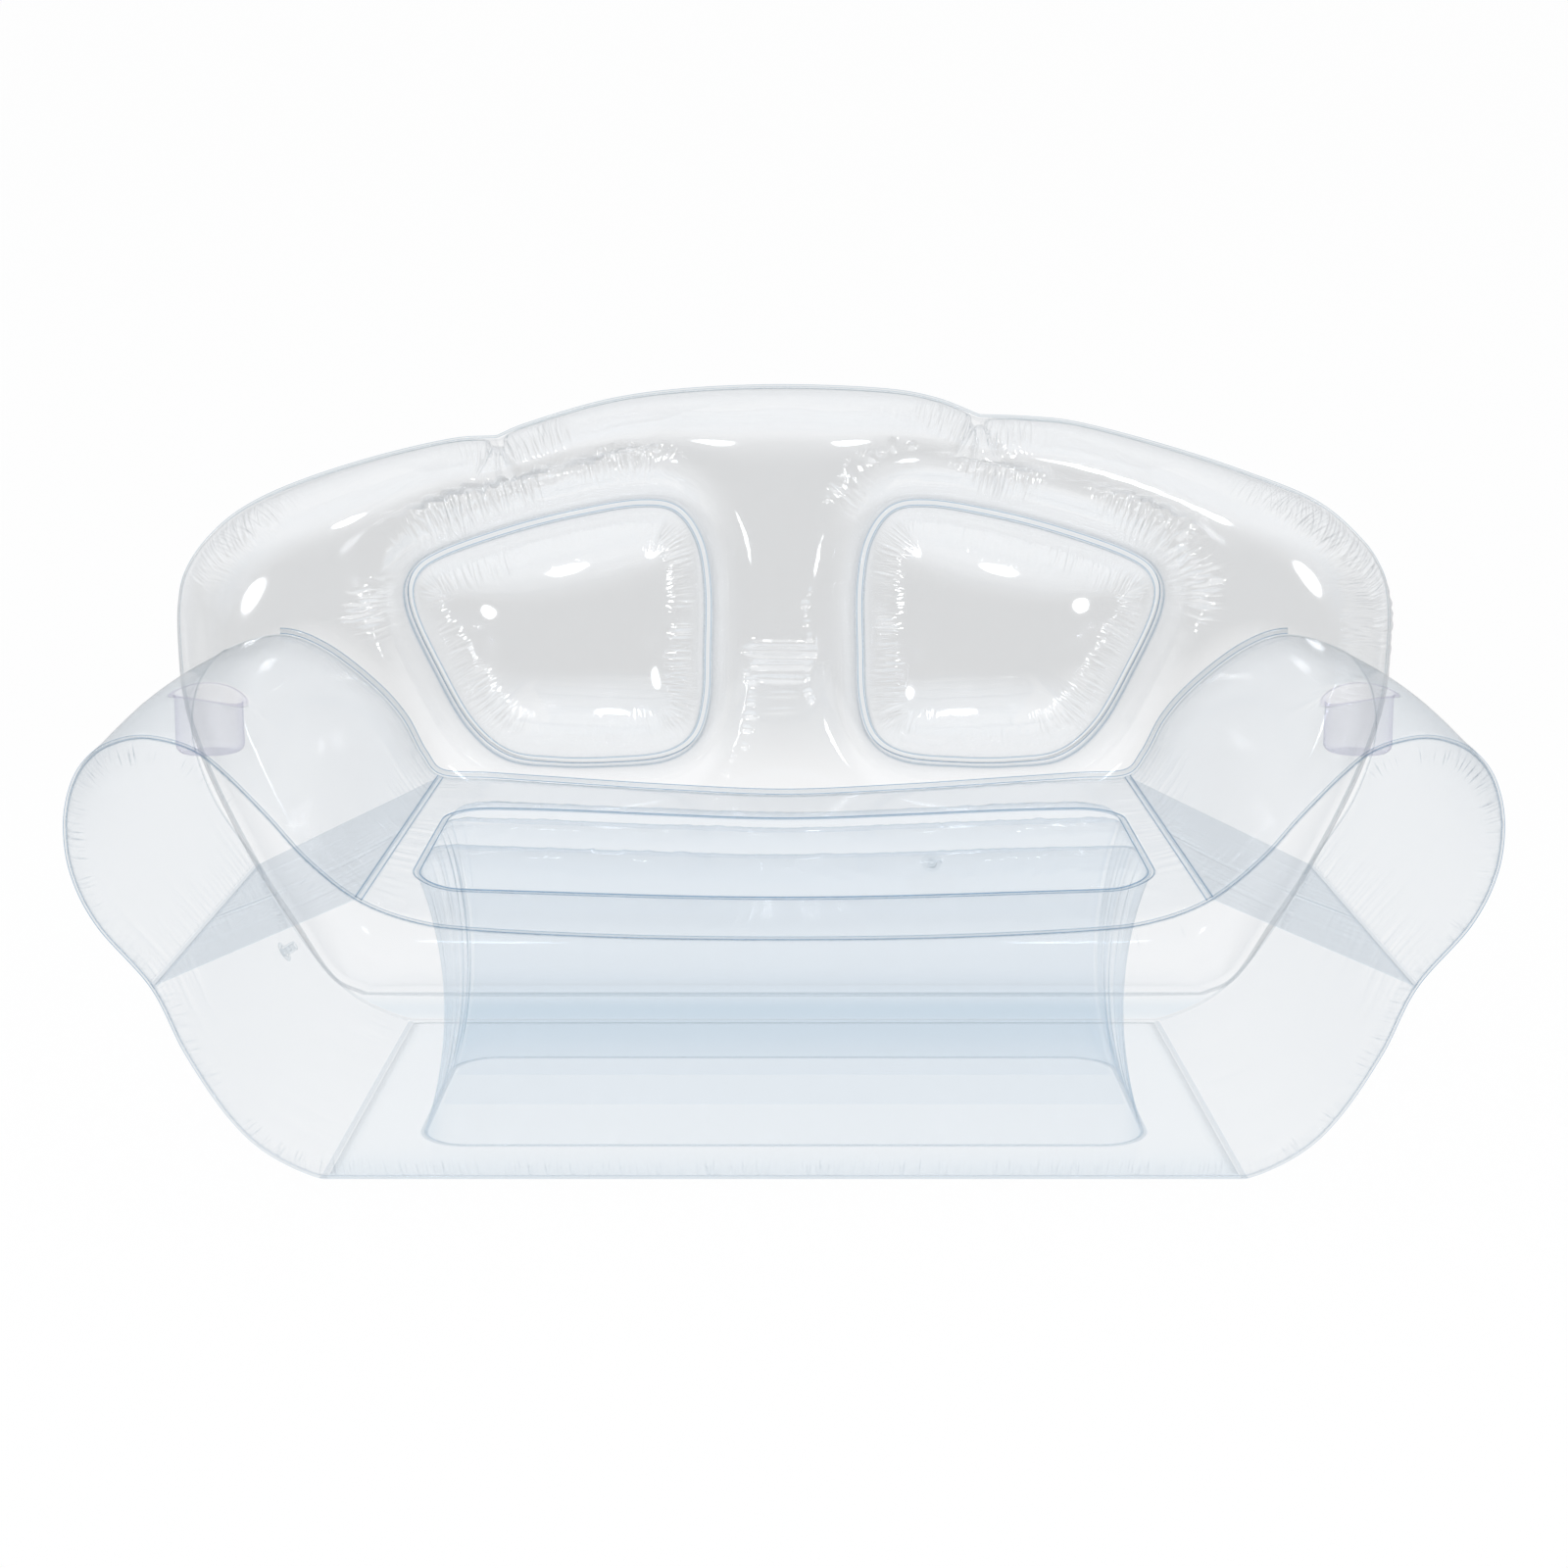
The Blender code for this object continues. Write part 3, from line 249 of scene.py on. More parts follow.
def smooth_run(controls, steps, before=None, after=None):
    """Points at equal spacing along a Catmull-Rom curve through the controls, ends included."""
    points = [np.array(p, float) for p in controls]
    points.insert(0, np.array(before, float) if before is not None else 2 * points[0] - points[1])
    points.append(np.array(after, float) if after is not None else 2 * points[-1] - points[-2])
    fine = []
    for a, b, c, d in zip(points, points[1:], points[2:], points[3:]):
        for i in range(CURVE_TRIES):
            t = i / CURVE_TRIES
            bend, twist = 2 * a - 5 * b + 4 * c - d, 3 * b - a - 3 * c + d
            fine.append(0.5 * (2 * b + (c - a) * t + bend * t**2 + twist * t**3))
    fine.append(points[-2])
    return evenly(np.array(fine), steps)


def smooth_loop(controls, steps):
    """A smooth closed curve through the controls, with the first point not repeated."""
    closed = list(controls) + [controls[0]]
    return smooth_run(closed, steps, before=controls[-1], after=controls[1])[:-1]


def length_of(loop):
    return np.linalg.norm(np.roll(loop, -1, axis=0) - loop, axis=1).sum()


def recounted(loop, count):
    """A closed loop with another number of points."""
    return evenly(np.concatenate([loop, loop[:1]]), count)[:-1]


def respaced(loop, step=FINE_STEP):
    """A closed loop with its points at about another step."""
    return recounted(loop, max(3, round(length_of(loop) / step)))


def mirrored(points):
    """The same points on the other side of the sofa's middle plane."""
    flipped = np.array(points, dtype=float)
    flipped[:, 0] *= -1
    return flipped


def sided(side, points):
    """Points given for the right, on the side asked for."""
    return points if side == "right" else mirrored(points)


def outset(loop, distance):
    """An anticlockwise loop moved outwards along its normals."""
    along = np.roll(loop, -1, axis=0) - np.roll(loop, 1, axis=0)
    out = np.stack([along[:, 1], -along[:, 0]], axis=1) / np.linalg.norm(along[:, :2], axis=1)[:, None]
    return loop + out * np.reshape(distance, (-1, 1))


def is_inside(points, loop):
    """For each point, whether a closed loop holds it."""
    found = np.zeros(len(points), dtype=bool)
    ax, ay = loop[:, 0], loop[:, 1]
    bx, by = np.roll(ax, -1), np.roll(ay, -1)
    rise = np.where(by == ay, 1, by - ay)
    for first in range(0, len(points), CHUNK):
        x, y = points[first:first + CHUNK, 0, None], points[first:first + CHUNK, 1, None]
        crosses = (ay > y) != (by > y)
        hits = crosses & (x < (bx - ax) * (y - ay) / rise + ax)
        found[first:first + CHUNK] = hits.sum(axis=1) % 2 == 1
    return found


def within(points, outline, holes):
    """For each point, whether it lies inside an outline and outside its holes."""
    good = is_inside(points, outline)
    for hole in holes:
        good &= ~is_inside(points, hole)
    return good


def nearest(points, loop):
    """For each point, its distance to a closed loop and how far along the loop the nearest place is."""
    run = np.roll(loop, -1, axis=0) - loop
    length = np.linalg.norm(run, axis=1)
    start = np.concatenate([[0], np.cumsum(length)[:-1]])
    distance, along = np.empty(len(points)), np.empty(len(points))
    for first in range(0, len(points), CHUNK):
        some = points[first:first + CHUNK]
        gap_x = some[:, 0, None] - loop[:, 0]
        gap_y = some[:, 1, None] - loop[:, 1]
        share = np.clip((gap_x * run[:, 0] + gap_y * run[:, 1]) / length**2, 0, 1)
        squared = (gap_x - share * run[:, 0]) ** 2 + (gap_y - share * run[:, 1]) ** 2
        best = squared.argmin(axis=1)
        rows = np.arange(len(best))
        distance[first:first + CHUNK] = np.sqrt(squared[rows, best])
        along[first:first + CHUNK] = start[best] + share[rows, best] * length[best]
    return distance, along


def triangulate(outline, holes=(), spacing=FILM_SPACING, rows=EDGE_ROWS, extra=()):
    """Points and triangles that fill an outline round its holes, with fine rows along the edges."""
    loops = [outline, *holes]
    low, high = outline.min(axis=0), outline.max(axis=0)
    columns = np.arange(low[0] + spacing / 2, high[0], spacing)
    levels = np.arange(low[1] + spacing / 2, high[1], spacing * math.sqrt(3) / 2)
    grid = np.array([(x + k % 2 * spacing / 2, y) for k, y in enumerate(levels) for x in columns])
    groups = [(grid, rows[-1] + spacing / 2), *((group, rows[0]) for group in extra)]
    for row in rows:
        for loop in loops:
            coarser = respaced(loop, FINE_STEP * (1 + 1.2 * row / rows[-1]))
            groups.append((outset(coarser, -row if loop is outline else row), row * 0.85))
    points = list(loops)
    for group, clear in groups:
        group = group[within(group, outline, holes)]
        away = np.min([nearest(group, loop)[0] for loop in loops], axis=0)
        points.append(group[away > clear])
    edges, first = [], 0
    for loop in loops:
        edges += [(first + i, first + (i + 1) % len(loop)) for i in range(len(loop))]
        first += len(loop)
    found = delaunay_2d_cdt([Vector(p) for p in np.concatenate(points)], edges, [], 0, 1e-7)
    flat = np.array([list(v) for v in found[0]])
    faces = np.array(found[2])
    return flat, faces[within(flat[faces].mean(axis=1), outline, holes)]


def blurred(field, radius):
    """A grid of values smoothed by a bell curve."""
    reach = int(3 * radius) + 1
    bell = np.exp(-0.5 * (np.arange(-reach, reach + 1) / radius) ** 2)
    bell /= bell.sum()
    for axis in (0, 1):
        wider = np.pad(field, [(reach, reach) if k == axis else (0, 0) for k in (0, 1)], mode="edge")
        field = np.apply_along_axis(lambda line: np.convolve(line, bell, mode="valid"), axis, wider)
    return field


def field_grid(loops, margin):
    """A grid over an outline, with each place's distance to the welds and whether the film covers it."""
    outline, *holes = (respaced(loop, 2 * GRID_STEP) for loop in loops)
    low, high = outline.min(axis=0) - margin, outline.max(axis=0) + margin
    xs, ys = np.arange(low[0], high[0], GRID_STEP), np.arange(low[1], high[1], GRID_STEP)
    grid = np.stack(np.meshgrid(xs, ys, indexing="ij"), axis=2).reshape(-1, 2)
    away = np.min([nearest(grid, loop)[0] for loop in (outline, *holes)], axis=0)
    shape = len(xs), len(ys)
    return low, away.reshape(shape), within(grid, outline, holes).reshape(shape)


def read_field(field, low, points):
    """Values of a grid at points between its places."""
    x = np.clip((points[:, 0] - low[0]) / GRID_STEP, 0, field.shape[0] - 1.001)
    y = np.clip((points[:, 1] - low[1]) / GRID_STEP, 0, field.shape[1] - 1.001)
    i, j = x.astype(int), y.astype(int)
    u, v = x - i, y - j
    lower = field[i, j] * (1 - u) + field[i + 1, j] * u
    upper = field[i, j + 1] * (1 - u) + field[i + 1, j + 1] * u
    return lower * (1 - v) + upper * v


def distance_to(points, loops):
    return np.min([nearest(points, loop)[0] for loop in loops], axis=0)


def soft_distance(points, loops, blur):
    """Distance to the welds, smoothed where places lie as near to one weld as to another."""
    low, away, covered = field_grid(loops, 4 * blur)
    smooth = read_field(blurred(np.where(covered, away, -away), blur / GRID_STEP), low, points)
    true = distance_to(points, loops)
    share = smoothed(true / (2 * blur))
    return np.maximum(true * (1 - share) + smooth * share, 0)


def inflated(points, loops, limit):
    """How far air lifts a film between its welds: as round as a tube, and level towards a limit."""
    low, away, covered = field_grid(loops, 4 * GRID_STEP)
    lifted = np.zeros_like(away)
    for _ in range(RELAXATIONS):
        around = lifted[2:, 1:-1] + lifted[:-2, 1:-1] + lifted[1:-1, 2:] + lifted[1:-1, :-2]
        lifted[1:-1, 1:-1] = np.where(covered[1:-1, 1:-1], (around + GRID_STEP**2) / 4, 0)
    sure = covered & (away > 1.5 * GRID_STEP)
    slope = blurred(lifted * sure, 1.2) / np.maximum(blurred(away * sure, 1.2), 1e-6)
    distance = distance_to(points, loops)
    far = smoothed(distance / (5 * GRID_STEP))
    beside = distance * read_field(slope, low, points)
    free = np.sqrt(2 * (beside * (1 - far) + read_field(blurred(lifted, 1.2), low, points) * far))
    return (np.maximum(free, 1e-6) ** -5.0 + limit**-5.0) ** -0.2


def dome(distance, height, reach):
    """How far an inflated sheet stands out: round from its welds, level past the reach."""
    share = np.clip(distance / reach, 0, 1)
    return height * np.sqrt(1 - (1 - share) ** 2)


def uneven(along, length, seed, patch=0.12):
    """A slow wander from 0 to 1 along a weld, the same at both ends of a loop."""
    knots = np.random.default_rng(seed).uniform(0, 1, max(3, round(length / patch)))
    at = np.asarray(along) / length * len(knots)
    low = np.floor(at).astype(int)
    share = smoothed(at - low)
    return knots[low % len(knots)] * (1 - share) + knots[(low + 1) % len(knots)] * share


def puckers(distance, along, length, seed, height, width=0.016, peak=0.016):
    """Gathers across a weld: rounded lobes between sharp creases, highest a little way off the weld."""
    draw = np.random.default_rng(seed)
    count = max(6, round(length / width))
    creases = np.sort((np.arange(count) + draw.uniform(-0.36, 0.36, count)) * length / count)
    creases = np.concatenate([[creases[-1] - length], creases, [creases[0] + length]])
    heights = draw.uniform(0.15, 1.0, count + 1)
    reaches = peak * draw.uniform(0.6, 1.7, count + 1)
    heights[-1], reaches[-1] = heights[0], reaches[0]
    lobe = np.clip(np.searchsorted(creases, along) - 1, 0, count)
    share = np.clip((along - creases[lobe]) / (creases[lobe + 1] - creases[lobe]), 0, 1)
    x = np.asarray(distance) / reaches[lobe]
    places = 0.35 + 0.9 * uneven(along, length, seed + 1)
    return height * places * np.sin(math.pi * share) ** 0.75 * heights[lobe] * x * np.exp(1 - x)


def pull_of(distance, along, length, seed, reach, least=0.5):
    """How deep the fine gathers from a weld are: unevenly along it, and strongest halfway out."""
    share = np.clip(distance / reach, 0, 1)
    place = least + (1 - least) * uneven(along, length, seed, 0.03)
    return place * np.clip(share / 0.5, 0.1, 1) * (1 - share**3) * np.clip(share * 12, 0, 1)


def grouped(points, groups, least):
    """How strong gathers are that bunch up in groups, each with a place, a radius and a strength."""
    found = np.full(len(points), least)
    for x, z, radius, strength in groups:
        found += strength * np.exp(-((points[:, 0] - x) ** 2 + (points[:, 1] - z) ** 2) / radius**2)
    return found


def fold(points, start, end, depth, width):
    """A crease pressed into a sheet between two places, fading out at both."""
    a, b = np.array(start), np.array(end)
    held = np.clip(((points - a) @ (b - a)) / ((b - a) @ (b - a)), 0, 1)
    off = np.linalg.norm(points - a - held[:, None] * (b - a), axis=1)
    return -depth * np.sin(math.pi * held) ** 0.6 / (1 + (off / width) ** 2) ** 1.5


class Section:
    """Right half of the base's outline at one seam, from the seat's middle round the arm to the floor."""

    def __init__(
        self, seat_height, crease_rise, seat_shares, arm_reach, arm_height, arm_shares, waist_reach
    ):
        arm_rise = arm_height - WAIST_HEIGHT
        self.seat = [(0, seat_height)]
        self.seat += [(CREASE_X * x, seat_height + crease_rise * z) for x, z in seat_shares]
        self.seat.append((CREASE_X, seat_height + crease_rise))
        self.arm = [self.seat[-1]]
        self.arm += [(CREASE_X + arm_reach * x, WAIST_HEIGHT + arm_rise * z) for x, z in arm_shares]
        self.arm.append((CREASE_X + waist_reach, WAIST_HEIGHT))
        self.inwards = FLOOR_REACH - waist_reach

    def side(self, floor):
        waist_x, waist_z = self.arm[-1]
        low = [(waist_x + self.inwards * x, floor + (waist_z - floor) * z) for x, z in SIDE_SHARES]
        return [self.arm[-1], *low, (FLOOR_X, floor)]

    def seat_run(self):
        inner_x, inner_z = self.seat[1]
        return smooth_run(self.seat, RUN_STEPS, before=(-inner_x, inner_z), after=self.arm[1])

    def arm_run(self):
        return smooth_run(self.arm, RUN_STEPS, before=self.seat[-2], after=self.side(0)[1])

    def side_run(self, floor):
        inwards = FLOOR_X - FLOOR_REACH, floor
        return smooth_run(self.side(floor), RUN_STEPS, before=self.arm[-2], after=inwards)

    def loop(self):
        """The whole seam, anticlockwise seen from the front."""
        right = np.concatenate([self.seat_run(), self.arm_run()[1:], self.side_run(SEAM_RADIUS)[1:]])
        return respaced(np.concatenate([right, mirrored(right)[:0:-1]])[::-1])


FRONT = Section(SEAT_HEIGHT_FRONT, CREASE_RISE_FRONT, SEAT_FRONT_SHARES,
                ARM_REACH_FRONT, ARM_HEIGHT_FRONT, ARM_FRONT_SHARES, WAIST_REACH_FRONT)
REAR = Section(SEAT_HEIGHT_REAR, CREASE_RISE_REAR, SEAT_REAR_SHARES,
               ARM_REACH_REAR, ARM_HEIGHT_REAR, ARM_REAR_SHARES, WAIST_REACH_REAR)
SEAT_FRONT_RUN, SEAT_REAR_RUN = FRONT.seat_run(), REAR.seat_run()


class Skin:
    """A film ruled from a run on the front seam to one on the rear seam, swollen between its welds."""

    def __init__(self, front, rear, crown):
        self.front, self.rear, self.crown = front, rear, crown
        runs = [np.linalg.norm(np.diff(run, axis=0), axis=1).sum() for run in (front, rear)]
        self.length = sum(runs) / 2

    def ruled(self, along, back):
        index = np.arange(len(self.front))
        at = np.clip(along, 0, 1) * index[-1]
        ends = [[np.interp(at, index, run[:, k]) for k in (0, 1)] for run in (self.front, self.rear)]
        return np.stack([f + (r - f) * back for f, r in zip(*ends)], axis=1)

    def at(self, along, back):
        """Points at shares of the way along the runs and back from the front."""
        along, back = np.broadcast_arrays(np.atleast_1d(along).astype(float), back)
        step = 4 / len(self.front)
        run = self.ruled(along + step, back) - self.ruled(along - step, back)
        out = np.stack([-run[:, 1], run[:, 0]], axis=1) / np.linalg.norm(run, axis=1)[:, None]
        held = np.sin(math.pi * np.clip(along, 0, 1)) * np.sin(math.pi * back)
        flat = self.ruled(along, back) + out * (self.crown * held)[:, None]
        return np.stack([flat[:, 0], SKIN_FRONT_Y + SKIN_DEPTH * back, flat[:, 1]], axis=1)

    def share(self, distance):
        return distance / self.length

    def share_at_x(self, x, back):
        """Shares along the run where its upper side passes over given places."""
        tries = np.linspace(0, 1, SHARE_TRIES)
        found = []
        for place, depth in zip(x, back):
            across = self.at(tries, depth)[:, 0]
            rising = int(np.argmax(across))
            found.append(np.interp(place, across[:rising], tries[:rising]))
        return np.array(found)


ARM_SKIN = Skin(FRONT.arm_run(), REAR.arm_run(), ARM_CROWN)
SIDE_SKIN = Skin(FRONT.side_run(FILM / 2), REAR.side_run(FILM / 2), ARM_CROWN / 2)


def share_back(y):
    """How far back places lie on the base's films, as a share."""
    return (np.asarray(y) - SKIN_FRONT_Y) / SKIN_DEPTH


def seat_height(x, y):
    """Height of the seat film over places on the floor plan."""
    front, rear = SEAT_FRONT_RUN, SEAT_REAR_RUN
    back = share_back(y)
    across = np.abs(x)
    ruled = np.interp(across, front[:, 0], front[:, 1]) * (1 - back)
    ruled += np.interp(across, rear[:, 0], rear[:, 1]) * back
    held = np.sqrt(np.clip(4 * back * (1 - back), 0, 1)) * (1 - (across / CREASE_X) ** 4)
    return ruled + SEAT_CROWN * held


def lift(plan, height):
    """Plan points raised to given heights."""
    return np.column_stack([plan, np.broadcast_to(height, len(plan))])


def upright(points, y):
    """Points of an upright plane's outline, at given places front to back."""
    return np.column_stack([points[:, 0], np.broadcast_to(y, len(points)), points[:, 1]])


def rectangle(low, high):
    """Points round a rectangle, anticlockwise, with all four corners kept."""
    corners = np.array([(low[0], low[1]), (high[0], low[1]), (high[0], high[1]), (low[0], high[1])])
    sides = []
    for a, b in zip(corners, np.roll(corners, -1, axis=0)):
        steps = max(1, round(np.linalg.norm(b - a) / FINE_STEP))
        sides.append(evenly(np.array([a, b]), steps)[:-1])
    return np.concatenate(sides)


def insert_loop(extra):
    """The seat insert's rounded rectangle on the floor plan, moved outwards by a distance."""
    half_width, half_depth = INSERT_WIDTH / 2 + extra, INSERT_DEPTH / 2 + extra
    radius = INSERT_CORNER_RADIUS + extra
    corners = []
    for quarter, (right, back) in enumerate(((1, 1), (-1, 1), (-1, -1), (1, -1))):
        centre = np.array([(half_width - radius) * right, (half_depth - radius) * back])
        turns = math.pi / 2 * (quarter + np.linspace(0, 1, 25))
        corners.append(centre + radius * np.column_stack([np.cos(turns), np.sin(turns)]))
    return recounted(np.concatenate(corners), RING_STEPS) + np.array([0, INSERT_Y])


def ring_of(radius, middle, steps=72):
    """A circle in a plane, anticlockwise."""
    turns = 2 * math.pi * np.arange(steps) / steps
    return np.array(middle) + radius * np.column_stack([np.cos(turns), np.sin(turns)])


def back_point(x_share, z_share):
    """A place on the backrest's seam from its shares of the half width and height."""
    foot = BACK_FLOOR_CLEARANCE + SEAM_RADIUS
    return x_share * BACK_X, foot + z_share * (BACK_HEIGHT - SEAM_RADIUS - foot)


def back_loop():
    """The backrest's seam, anticlockwise seen from the front, with a notch between each two lobes."""
    lobes = [
        smooth_run([back_point(*share) for share in shares], LOBE_STEPS)[:-1]
        for shares in (BACK_LEFT_LOBE_SHARES, BACK_CENTRE_LOBE_SHARES, BACK_RIGHT_LOBE_SHARES)
    ]
    return respaced(np.concatenate([*lobes, [back_point(*BACK_RIGHT_LOBE_SHARES[-1])]])[::-1])


def pillow_loop(side):
    """The middle of a pillow's ring weld, anticlockwise seen from the front."""
    controls = [(x * BACK_X, z * BACK_HEIGHT) for x, z in PILLOW_SHARES]
    loop = smooth_loop(controls, LOBE_STEPS)
    return respaced(loop if side == "right" else mirrored(loop)[::-1])


BACK_LOOP = back_loop()
PILLOW_LOOPS = {side: pillow_loop(side) for side in SIDES}

# Where the backrest's film bunches up most, at the pillow rings and at the seam: x, z, radius and strength
GATHER_GROUPS = (
    (-0.44, 0.67, 0.045, 1.3), (-0.36, 0.71, 0.035, 1.3), (-0.23, 0.76, 0.045, 1.2),
    (0.06, 0.74, 0.040, 1.0), (0.285, 0.72, 0.040, 1.0), (0.49, 0.67, 0.050, 1.0),
    (0.55, 0.58, 0.030, 1.3), (-0.56, 0.55, 0.030, 1.3),
)
SEAM_GROUPS = (
    (0.74, 0.62, 0.100, 2.2), (0.80, 0.50, 0.070, 2.2), (-0.72, 0.64, 0.060, 1.0),
    (0.26, 0.80, 0.080, 1.2), (-0.36, 0.80, 0.080, 1.2),
)
LEAST_GATHER = 0.10

# Gathers of the backrest's films at its seam and at its rings: height, width and place of the peak
SEAM_GATHER = (0.0022, 0.017, 0.016)
RING_GATHER = (0.0030, 0.013, 0.026)
SEAM_PULL_REACH, RING_PULL_REACH = 0.040, 0.082

# How much lighter the backrest is painted below a height, as painted light in place of the white floor's
# reflection, and within the base's outline from its edge
FAINT_HEIGHT = 0.43
FAINT_FALL = 0.16
FAINT_EDGE = 0.03
FAINTEST = 0.9

# Creases pressed into the backrest's front film: from, to, depth and width
FOLD_ROWS = (-0.010, -0.006, -0.003, 0.0, 0.003, 0.006, 0.010)
STROKE_WIDTH = 0.0030
STROKE_STEP = 13
STROKE_SEED = 400
BACK_FOLDS = [
    ((-0.056, 0.498), (0.046, 0.497), 0.0090, 0.0050),
    ((-0.050, 0.508), (0.042, 0.507), -0.0034, 0.0032),
    ((-0.050, 0.488), (0.042, 0.487), -0.0034, 0.0032),
    ((-0.050, 0.478), (0.040, 0.480), 0.0060, 0.0050),
    ((-0.044, 0.462), (0.034, 0.460), 0.0035, 0.0045),
    ((-0.034, 0.440), (0.030, 0.441), 0.0018, 0.0050),
    ((-0.036, 0.418), (0.026, 0.420), 0.0016, 0.0050),
]
for lobe, spread in (
    (BACK_LEFT_LOBE_SHARES, ((0.012, 0.075), (0.030, 0.055), (-0.020, 0.050))),
    (BACK_CENTRE_LOBE_SHARES, ((-0.014, 0.070), (-0.034, 0.050), (0.018, 0.055))),
):
    notch = np.array(back_point(*lobe[-1]))
    BACK_FOLDS += [(notch + (0, 0.012), notch + (x, -drop), 0.0120, 0.0042) for x, drop in spread]


def strokes(place, count, reach, depth, seed):
    """Short creases across the way along the nearest pillow ring, side by side about a place."""
    draw = np.random.default_rng(seed)
    found = []
    loop = min(PILLOW_LOOPS.values(), key=lambda ring: nearest(np.array([place]), ring)[0][0])
    loop = respaced(loop, 0.001)
    away = np.linalg.norm(loop - place, axis=1)
    for step in range(count):
        along = (step - (count - 1) / 2) * STROKE_STEP + draw.uniform(-4, 4)
        at = int(away.argmin() + along) % len(loop)
        middle, half = away.min() + draw.uniform(-0.004, 0.004), reach * draw.uniform(0.5, 1.1)
        start, end = (outset(loop, middle + way * half)[at] for way in (-1, 1))
        end = end + draw.uniform(-0.002, 0.002, 2)
        found.append((start, end, depth * draw.uniform(0.5, 1.2), STROKE_WIDTH))
    return found


# Groups of short creases: place, count, reach and depth
STROKES = []
for seed, (place, *group) in enumerate((
    ((-0.047, 0.420), 12, 0.008, 0.0050), ((0.031, 0.545), 5, 0.007, 0.0045),
    ((0.033, 0.460), 5, 0.006, 0.0040), ((-0.43, 0.675), 7, 0.010, 0.0040),
    ((-0.34, 0.712), 6, 0.009, 0.0040), ((-0.195, 0.760), 6, 0.009, 0.0040),
    ((-0.525, 0.575), 3, 0.009, 0.0036), ((0.50, 0.665), 6, 0.009, 0.0036),
    ((0.095, 0.742), 6, 0.008, 0.0040), ((0.265, 0.735), 6, 0.009, 0.0040),
)):
    STROKES += strokes(np.array(place), *group, STROKE_SEED + seed)


def normals_of(points, faces):
    """Unit normals at the points of a sheet of triangles."""
    a, b, c = (points[faces[:, k]] for k in range(3))
    each = np.cross(b - a, c - a)
    summed = np.zeros_like(points)
    for k in range(3):
        np.add.at(summed, faces[:, k], each)
    return summed / np.maximum(np.linalg.norm(summed, axis=1), 1e-12)[:, None]


def pushed(points, faces, distance, outwards):
    """A sheet with its points moved along their normals; outwards says roughly which way that is."""
    normals = normals_of(points, faces)
    if np.sum(normals * outwards) < 0:
        normals, faces = -normals, faces[:, ::-1]
    return points + normals * distance[:, None], faces


def grid_faces(rows, columns, closed=False):
    """Quads of a lofted sheet of rows of points, each row closed on itself or not."""
    a = np.arange(columns if closed else columns - 1)[None, :]
    b = (a + 1) % columns
    first = np.arange(rows - 1)[:, None] * columns
    return np.stack([first + a, first + b, first + columns + b, first + columns + a], axis=2).reshape(-1, 4)


class Nodes:
    """Wires the nodes of one material, lamp or world."""

    def __init__(self, owner):
        self.owner = owner
        owner.use_nodes = True
        self.tree = owner.node_tree
        self.tree.nodes.clear()

    def add(self, kind, inputs, **settings):
        """A node with its inputs joined or set, by name or number."""
        node = self.tree.nodes.new(kind)
        for key, value in settings.items():
            setattr(node, key, value)
        for key, value in inputs.items():
            if isinstance(value, bpy.types.NodeSocket):
                self.tree.links.new(value, node.inputs[key])
            else:
                node.inputs[key].default_value = value
        return node

    def math(self, operation, a, b):
        return self.add("ShaderNodeMath", {0: a, 1: b}, operation=operation).outputs[0]

    def place(self):
        return self.add("ShaderNodeTexCoord", {}).outputs["Object"]

    def stored(self, name):
        """A value that the film's points carry."""
        return self.add("ShaderNodeAttribute", {}, attribute_name=name).outputs["Fac"]

    def colours(self, share, first, second, blend="MIX"):
        mix = self.add("ShaderNodeMix", {0: share, 6: first, 7: second}, data_type="RGBA", blend_type=blend)
        return mix.outputs[2]

    def change(self, value, span, ends):
        """A smooth change from one end value to the other while a value crosses a span."""
        return self.add("ShaderNodeMapRange", {
            "Value": value, "From Min": span[0], "From Max": span[1], "To Min": ends[0], "To Max": ends[1],
        }, interpolation_type="SMOOTHSTEP").outputs[0]

    def shown(self, least=0.0):
        """1 for the rays that bring a picture to the eye, through film or off it, and least for others."""
        rays = self.add("ShaderNodeLightPath", {}).outputs
        found = least
        for kind in ("Is Camera Ray", "Is Glossy Ray", "Is Transmission Ray"):
            found = self.math("MAXIMUM", found, rays[kind])
        return found

    def shader(self, kind, inputs):
        return self.add(f"ShaderNode{kind}", inputs).outputs[0]

    def finish(self, shader, kind="Material"):
        self.add(f"ShaderNodeOutput{kind}", {"Surface": shader})
        return self.owner


def gather_bump(nodes, height):
    """Fine gathers that run out from the welds, as deep as the pull stored on the film says."""
    place = nodes.add("ShaderNodeUVMap", {}, uv_map="gathers").outputs[0]
    lobes = nodes.add("ShaderNodeVectorMath", {0: place, 1: GATHER_SCALE}, operation="MULTIPLY").outputs[0]
    wave = {"Vector": lobes, "Scale": 1.0, "Detail": 1.0}
    wave = nodes.add("ShaderNodeTexNoise", wave, noise_dimensions="2D").outputs["Fac"]
    ridge = nodes.math("ABSOLUTE", nodes.math("SUBTRACT", wave, 0.5), 0)
    raised = nodes.math("MULTIPLY", ridge, nodes.stored("pull"))
    return nodes.shader("Bump", {"Strength": 1.0, "Distance": height, "Height": raised})


